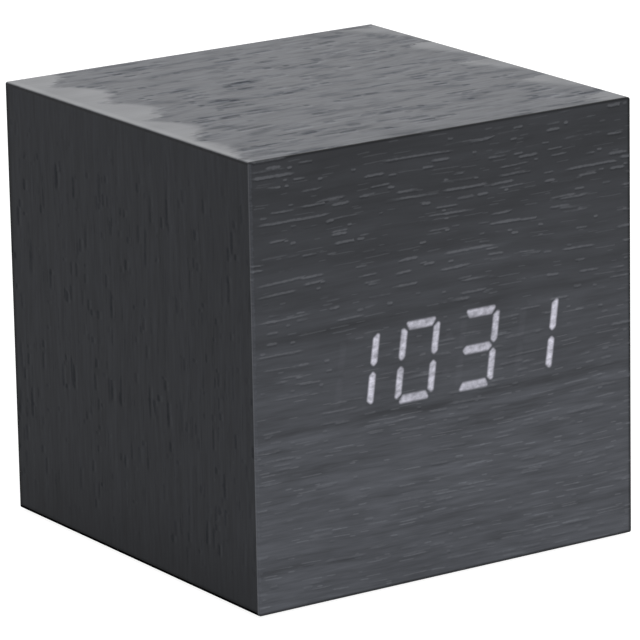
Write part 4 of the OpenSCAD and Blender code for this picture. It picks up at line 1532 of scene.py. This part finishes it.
@dataclass
class Underside:
    """Stick-on feet."""

    pad: float = 9.0
    ease: float = 0.12
    lip: float = 0.04

    def build(self) -> None:
        """Makes the four feet with eased edges."""
        low, mid, high = span_of("feet")
        r, t = self.pad / 2, high.z - low.z
        profile = [
            (0.0, 0.0), (r - 3 * self.ease, 0.0), (r - self.ease, self.lip), (r, self.ease),
            (r, t - self.lip), (r - self.lip, t), (0.0, t),
        ]
        rubber = Moulded("foot_rubber", "#151516", rough=0.85, grain=0.25, depth=0.02, scuff=0.4).make()
        size = (high.x - low.x - self.pad, high.y - low.y - self.pad)
        foot = lathe("foot", profile, Axis.Z, steps=40)
        feet = grid_of("feet_pads", foot, rubber, (mid.x, mid.y, low.z), size, upright=False)
        settle(feet, rubber, "case", "foot_rubber", "feet")


@dataclass
class DisplayModule:
    """Light bars, their reflector and the boards behind them."""

    pin_pitch: float = 2.54
    pin: float = 0.5
    conductors: int = 12
    conductor: float = 0.9
    ribbon_steps: int = 24
    phosphor: Point = (-32.75, -32.7)
    fillet: tuple[Point, ...] = (
        (0.0, 0.0), (0.85, 0.0), (0.8, 0.08), (0.55, 0.3), (0.38, 0.7), (0.32, 1.05), (0.0, 1.1),
    )

    def solder(self, tin: Material) -> None:
        """Makes the solder at the display's pins.

        Args:
            tin: Its material.
        """
        low, mid, high = span_of("display_pins")
        back = span_of("display_board")[2].y
        size = (high.x - low.x - self.pin, high.z - low.z - self.pin)
        columns = round(size[0] / self.pin_pitch) + 1
        drop = lathe("fillet", self.fillet, steps=14)
        drops = grid_of("display_solder", drop, tin, (mid.x, back, mid.z), size, (columns, 2))
        settle(drops, tin, "case", "tinned_metal")

    def ribbon(self) -> None:
        """Makes the ribbon, with a double bend between its two connectors."""
        low, mid, high = span_of("ribbon_cable")
        start, end = span_of("display_connector")[1].z, span_of("ribbon_header")[1].z
        path = []
        for k in range(self.ribbon_steps + 1):
            t = k / self.ribbon_steps
            rise = (end - start) * (1 - math.cos(math.pi * t)) / 2
            path.append((mid.x, low.y + t * (high.y - low.y), start + rise))
        grey = Moulded("ribbon_sleeve", "#8f9196", rough=0.55, grain=0.5, scuff=0.1).make()
        pitch = (high.x - low.x - self.conductor) / (self.conductors - 1)
        wires = sleeve("ribbon_wires", path, grey, self.conductor, 0.0, self.conductors, pitch)
        settle(wires, grey, "case", "ribbon_sleeve", "ribbon_cable")

    def build(self) -> None:
        """Dresses the solids and makes solder, screws and ribbon."""
        paint(Moulded("display_black", "#141416", rough=0.7, grain=0.2), "display_housing")
        paint(Moulded("lit_lens", "#e6e8f5", rough=0.35, grain=0.6, scuff=0.0, glow=0.6), "lit_segments")
        paint(Moulded("dark_lens", "#5c5d63", rough=0.35, grain=0.6, scuff=0.1), "dark_segments")
        paint(Laminate("circuit_board"), "led_board", "display_board", "control_board")
        chip = TwoPart(
            "led_phosphor", "#d8c35a", "#e9e6da", lambda x, y, z: y.step(*self.phosphor), metal=0.0
        )
        paint(chip, "led_chips")
        pale = Moulded("pale_plastic", "#d8d8d0", rough=0.45, grain=0.4, scuff=0.1)
        paint(pale, "display_spacers", "display_connector", "ribbon_header")
        self.solder(paint(Metal("tinned_metal", "#d5d6d2", rough=0.28), "display_pins"))
        zinc = Metal("zinc_screw", "#b9bcc0", rough=0.34).make()
        PanHead(length=7.6).set_of("display_screw_set", zinc, "zinc_screw", "display_screws")
        short = PanHead(length=6.6, way=-1)
        short.set_of("control_screw_set", zinc, "zinc_screw", "control_board_screws", rows=1)
        self.ribbon()


class Button(Enum):
    """A button, with the way that its arrow points, or 0 for a round mark."""

    SET = 0
    UP = 1
    DOWN = -1

    def part(self, kind: str) -> str:
        """Name of one of its pieces, such as its mark."""
        return f"{self.name.lower()}_{kind}"


@dataclass
class RearPanel:
    """The moulded panel with its screws, buttons and marks."""

    mark_rise: float = 0.05
    dot: float = 0.85
    arrow: float = 1.05
    nudge: float = 0.2
    soft_corner: float = 0.16
    door_arrow: float = 1.3
    door_arrow_drop: float = 7.6
    door_arrow_rise: Point = (-0.1, 0.2)

    def circle(self, x: float, z: float, radius: float, steps: int = 28, start: float = 0.0) -> Outline:
        """A round or even-sided outline, anticlockwise from a start in degrees."""
        turns = [math.radians(start) + math.tau * k / steps for k in range(steps)]
        return [(x + radius * math.cos(turn), z + radius * math.sin(turn)) for turn in turns]

    def triangle(self, x: float, z: float, size: float, up: int) -> Outline:
        """An arrow mark with rounded corners, which points up for 1 and down for -1."""
        return grown(self.circle(x, z, size, 3, 90 * up), size * self.soft_corner)

    def build(self) -> None:
        """Dresses the panel and its buttons and makes screws and marks."""
        shell = Moulded("panel_plastic", "#1d1e20", rough=0.52, grain=0.22, depth=0.016)
        paint(shell, "rear_panel", "battery_door")
        black = Metal("black_screw", "#3a3b3e", rough=0.4).make()
        screw = PanHead(length=9.3, head=4.4, rise=1.5, shank=2.4)
        screw.set_of("rear_panel_screw_set", black, "black_screw", "rear_panel_screws")
        caps = Moulded("button_plastic", "#2a2b2e", rough=0.38, grain=0.35, depth=0.008)
        paint(caps, *(button.part("button") for button in Button))
        ink = Moulded("mark_ink", "#b9bbc0", rough=0.6, grain=0.3, scuff=0.1).make()
        for button in Button:
            _, mid, high = span_of(button.part("button"))
            up = button.value
            outline = self.circle(mid.x, mid.z, self.dot)
            if up:
                outline = self.triangle(mid.x, mid.z - up * self.nudge, self.arrow, up)
            mark = plate(button.part("mark"), outline, high.y - self.mark_rise, high.y + self.mark_rise)
            settle(mark, ink, button.part("button"), "button_plastic")
        _, mid, high = span_of("battery_door")
        front, back = (span_of("rear_panel")[2].y + part for part in self.door_arrow_rise)
        faint = Moulded("arrow_plastic", "#4b4d51", rough=0.55, grain=0.22).make()
        arrow = self.triangle(mid.x, high.z - self.door_arrow_drop, self.door_arrow, -1)
        settle(plate("door_arrow", arrow, front, back), faint, "battery_door", "panel_plastic")


@dataclass
class ControlBoard:
    """What stands on the control board. Each pair is where one finish starts to give way and has done so."""

    contact_pitch: float = 0.65
    contact_half: Point = (0.32, 0.28)
    contact_from: Point = (32.0, 32.1)
    felt_edge: Point = (1.6, 1.5)
    felt_depth: Point = (0.65, 0.55)
    legs_from: Point = (1.94, 1.97)
    can_foot: Point = (0.12, 0.06)
    can_top: Point = (1.75, 1.85)

    def contacts(self, x: Value, y: Value, z: Value) -> Value:
        """The gilt contacts on the socket's tongue."""
        row = abs((x / self.contact_pitch).math("FRACT") - 0.5).step(*self.contact_half)
        return row * y.step(*self.contact_from)

    def legs(self, x: Value, y: Value, z: Value) -> Value:
        """The chip's tinned legs."""
        return abs(z - span_of("clock_chip")[1].z).step(*self.legs_from)

    def bare_can(self, x: Value, y: Value, z: Value) -> Value:
        """The microphone's can, all but the felt in its mouth.

        Args:
            x: Place across the case.
            y: Place from the front to the back.
            z: Height.

        Returns:
            1 on the can and 0 on the felt.
        """
        _, mid, high = span_of("microphone")
        mouth = radius_of(x - mid.x, z - mid.z).step(*self.felt_edge)
        return 1.0 - mouth * y.step(*(high.y - depth for depth in self.felt_depth))

    def bare_ends(self, x: Value, y: Value, z: Value) -> Value:
        """The bare metal at the capacitors' feet and tops.

        Args:
            x: Place across the case, which is not used.
            y: Place from the front to the back.
            z: Height.

        Returns:
            1 on bare metal and 0 on the sleeve.
        """
        low, mid, _ = span_of("capacitors")
        foot = y.step(*(low.y + part for part in self.can_foot))
        return foot.at_least((z - mid.z).step(*self.can_top))

    def build(self) -> None:
        """Dresses the switches, the socket and the components."""
        plungers = [button.part("switch_plunger") for button in Button]
        for finish, nodes in (
            (Moulded("switch_plastic", "#1c1d1f"), ["switch_housings"]),
            (Moulded("plunger_plastic", "#4d4f55", rough=0.45), plungers),
            (Metal("socket_metal", "#c3c6ca", rough=0.25, lines=(2.5, 0.1, 0.1)), ["power_socket_shell"]),
            (TwoPart("tongue_plastic", "#121213", "#d9b867", self.contacts), ["power_socket_tongue"]),
            (TwoPart("microphone_can", "#101011", "#b9bcc0", self.bare_can, rough=0.95), ["microphone"]),
            (Metal("can_metal", "#b9bcc0"), ["crystal"]),
            (Moulded("buzzer_plastic", "#111112", rough=0.45, grain=0.35), ["buzzer"]),
            (TwoPart("chip_epoxy", "#17181a", "#cfd0cc", self.legs), ["clock_chip"]),
            (TwoPart("capacitor_sleeve", "#1d2a5e", "#c9ccd2", self.bare_ends, rough=0.35), ["capacitors"]),
        ):
            paint(finish, *nodes)


@dataclass
class BatteryBay:
    """Cells, contacts and leads."""

    cells: int = 3
    radius: float = 5.25
    nub: float = 0.9
    ring_at: float = 30.4
    bare_within: float = 4.55
    bare_ends: Point = (1.0, 0.35)
    plate: float = 0.4
    spring_room: float = 4.4
    turns: float = 4.0
    coil_foot: float = 3.2
    coil_tip: float = 1.9
    coil_length: float = 3.8
    coil_lift: float = 0.3
    wire: float = 0.5
    lead: float = 1.2
    bend: float = 2.5

    def wrap(self) -> Material:
        """A plain shrink wrap: slate body, pale ring, sage shoulder and bare metal ends.

        Returns:
            The material.
        """
        finish = Finish("cell_wrap", Specular_IOR_Level=0.5, Coat_Roughness=0.15)
        n = finish.nodes
        along, bare = n.attribute("along"), n.attribute("bare")
        print_grain = n.noise(n.join(*n.place()), 1.4, 3.0, 0.6) - 0.5
        shoulder = along.step(self.ring_at + 0.6, self.ring_at + 0.8)
        ring = abs(along - self.ring_at).step(0.6, 0.5)
        light = (0.5 + print_grain * 0.8).clamp()
        body = n.mix(light, linear("#39434c"), linear("#47525c"))
        sage = n.mix(light, linear("#7f9384"), linear("#94a798"))
        banded = n.mix(ring, n.mix(shoulder, body, sage), linear("#d9dadc"))
        finish.feed("Base Color", n.mix(bare, banded, linear("#c4c6c9")))
        finish.feed("Metallic", bare)
        finish.feed("Roughness", 0.34 + print_grain * 0.1 - bare * 0.06)
        finish.feed("Coat Weight", (0.6 - bare * 0.6).clamp())
        finish.bump(print_grain + 0.5, 0.01)
        return finish.material

    def cell(self, length: float) -> Object:
        """One cell along +X, with its crimped wrap and the button that stands proud on its end.

        Args:
            length: Length over its button.

        Returns:
            A template with attributes for its length and bare metal.
        """
        r, top = self.radius, length - self.nub
        foot, tip = self.bare_ends
        profile = [
            (0.0, 0.15), (3.9, 0.15), (4.1, 0.25), (4.5, 0.25), (4.62, 0.05), (4.9, 0.0), (5.15, 0.12),
            (r, 0.4), (r, self.ring_at), (r, top - 0.4), (5.12, top - 0.1), (4.85, top), (4.2, top - 0.05),
            (4.0, top - 0.3), (2.3, top - 0.3), (2.0, top - 0.1), (1.8, top + 0.1), (1.8, length - 0.3),
            (1.6, length - 0.06), (1.2, length), (0.0, length),
        ]
        made = lathe("cell", profile, Axis.X, steps=48)
        along, bare = (made.data.attributes.new(name, "FLOAT", "POINT") for name in ("along", "bare"))
        for i, vert in enumerate(made.data.vertices):
            x, off = vert.co.x / MM, math.hypot(vert.co.y, vert.co.z) / MM
            along.data[i].value = x
            bare.data[i].value = float(off < self.bare_within and (x < foot or x > top - tip))
        return made

    def build(self) -> None:
        """Makes cells, springs and leads and dresses the plates."""
        low, mid, high = span_of("battery_cells")
        pitch = (high.z - low.z - 2 * self.radius) / (self.cells - 1)
        start = (0.0, mid.y, low.z + self.radius)
        seat = span_of("contact_plates")[2].x - self.plate
        reach = seat - self.spring_room
        wrap = self.wrap()
        cell = self.cell(high.x + reach)
        cells = alternating_row("battery_cell_set", cell, wrap, start, self.cells, pitch, reach)
        settle(cells, wrap, "case", "cell_wrap", "battery_cells")
        tin = paint(Metal("contact_tin", "#d5d6d2", rough=0.24, lines=(0.1, 2.5, 0.1)), "contact_plates")
        size = (self.turns, self.coil_foot, self.coil_tip, self.coil_length, self.wire, self.coil_lift)
        spring = coil(tin, *size)
        springs = alternating_row("contact_spring_set", spring, tin, start, self.cells, pitch, seat)
        settle(smooth(springs, angle=60.0), tin, "case", "tinned_metal", "contact_springs")
        for name, colour in (("red", "#a8231c"), ("black", "#141415")):
            low, mid, high = span_of(f"{name}_lead")
            y, top = low.y + self.lead / 2, high.z - self.lead / 2
            path = [(mid.x, y, low.z), (mid.x, y, top), (mid.x, high.y, top)]
            finish = Moulded(f"{name}_sleeve", colour, rough=0.42, grain=0.4, scuff=0.1).make()
            wire = sleeve(f"{name}_wire", path, finish, self.lead, self.bend)
            settle(smooth(wire, angle=60.0), finish, "case", f"{name}_sleeve", f"{name}_lead")


@dataclass
class Studio:
    """Camera, floor, lamps and surroundings. A level of the floor is what it scatters and what it shines."""

    lens: float = 291.48
    sensor: float = 36.0
    azimuth: float = -33.69
    elevation: float = 15.13
    roll: float = -1.103
    distance: float = 930.7
    across: float = 0.198
    rise: float = -2.355
    aim: float = 40.5
    fill: float = 0.42
    floor_half: float = 6000.0
    mirrored_level: Point = (0.42, 0.66)
    seen_level: Point = (0.3, 0.93)

    def camera(self) -> None:
        """Sets the camera at the photograph's viewing angle."""
        az, el, roll = (math.radians(a) for a in (self.azimuth, self.elevation, self.roll))
        back = Vector((math.sin(az) * math.cos(el), -math.cos(az) * math.cos(el), math.sin(el)))
        right = Vector((math.cos(az), math.sin(az), 0.0))
        up = back.cross(right)
        place = back * self.distance + right * self.across + up * self.rise + Vector((0, 0, self.aim))
        turned_right = right * math.cos(roll) + up * math.sin(roll)
        turned_up = up * math.cos(roll) - right * math.sin(roll)
        data = bpy.data.cameras.new("camera")
        data.lens, data.sensor_width = self.lens, self.sensor
        data.clip_start, data.clip_end = 0.01, 50.0
        made = put("camera", data)
        turn = Matrix((turned_right, turned_up, back)).transposed()
        made.matrix_world = Matrix.Translation(place * MM) @ turn.to_4x4()
        bpy.context.scene.camera = made

    def lamp(self, name: str, place: Place, size: float, power: float) -> None:
        """Hangs one soft box aimed at the middle of the case, which doesn't glare in its lacquer.

        Args:
            name: The lamp's name.
            place: Where it hangs, in metres.
            size: Length of its sides, in metres.
            power: Its watts.
        """
        data = bpy.data.lights.new(name, "AREA")
        data.shape, data.size, data.energy = "SQUARE", size, power
        made = put(name, data)
        way = Vector((0, 0, self.aim * MM)) - Vector(place)
        made.matrix_world = Matrix.Translation(place) @ way.to_track_quat("-Z", "Y").to_matrix().to_4x4()
        made.visible_camera = False
        made.visible_glossy = False

    @staticmethod
    def seen(n: Nodes) -> Value:
        """1 for rays that look at or reflect the surroundings, and 0 for light.

        Args:
            n: The tree.

        Returns:
            The mask.
        """
        path = n.node("ShaderNodeLightPath")
        rays = [Value(n, path.outputs[f"Is {kind} Ray"]) for kind in ("Camera", "Glossy", "Transmission")]
        return rays[0].at_least(rays[1]).at_least(rays[2])

    def surroundings(self) -> None:
        """White surroundings for what is seen, and a dimmer even fill for what is lit."""
        world = bpy.data.worlds.new("studio")
        world.use_nodes = True
        n = Nodes(world.node_tree)
        light = world.node_tree.nodes["Background"]
        n.tree.links.new((self.seen(n) * (1.0 - self.fill) + self.fill).socket, light.inputs["Strength"])
        light.inputs["Color"].default_value = (1.0, 1.0, 1.0, 1.0)
        bpy.context.scene.world = world

    def floor(self) -> None:
        """A pale floor, overexposed to the eye as in a cut-out picture."""
        half = self.floor_half
        corners = [(-half, -half, 0), (half, -half, 0), (half, half, 0), (-half, half, 0)]
        made = new_piece("floor", corners, [(0, 1, 2, 3)])
        finish = bpy.data.materials.new("floor_paper")
        finish.use_nodes = True
        n = Nodes(finish.node_tree)
        x, y, _ = n.place()
        tooth = n.cloud(x, y, (3, 3), 3.0)
        lit = n.node("ShaderNodeBsdfDiffuse", None, {"Color": n.grey(0.78 + tooth * 0.04)}).outputs[0]
        shown = []
        for dim, white in (self.mirrored_level, self.seen_level):
            paper = n.node("ShaderNodeBsdfDiffuse", None, {"Color": (dim, dim, dim, 1)}).outputs[0]
            bright = {"Color": (white, white, white, 1), "Strength": 1.0}
            shine = n.node("ShaderNodeEmission", None, bright).outputs[0]
            shown.append(n.node("ShaderNodeAddShader", None, {0: paper, 1: shine}).outputs[0])
        mirrored = n.node("ShaderNodeMixShader", None, {0: self.seen(n), 1: lit, 2: shown[0]}).outputs[0]
        straight = n.node("ShaderNodeLightPath").outputs["Is Camera Ray"]
        mixed = n.node("ShaderNodeMixShader", None, {0: straight, 1: mirrored, 2: shown[1]}).outputs[0]
        output = next(k for k in finish.node_tree.nodes if k.type == "OUTPUT_MATERIAL")
        n.tree.links.new(mixed, output.inputs["Surface"])
        finish.cycles.emission_sampling = "NONE"
        made.data.materials.append(finish)

    def build(self) -> None:
        """Sets up the whole studio."""
        bpy.context.scene.view_settings.view_transform = "Standard"
        self.camera()
        self.surroundings()
        self.floor()
        self.lamp("key", (0.55, -0.95, 0.75), size=0.7, power=9.0)
        self.lamp("overhead", (0.1, 0.15, 1.3), size=0.9, power=7.0)


def main() -> None:
    """Builds the clock's pieces in order, then the studio."""
    logging.basicConfig(level=logging.INFO, format="%(name)s %(message)s")
    for assembly in (VeneeredCase, Underside, DisplayModule, RearPanel, ControlBoard, BatteryBay, Studio):
        assembly().build()


if __name__ == "__main__":
    main()
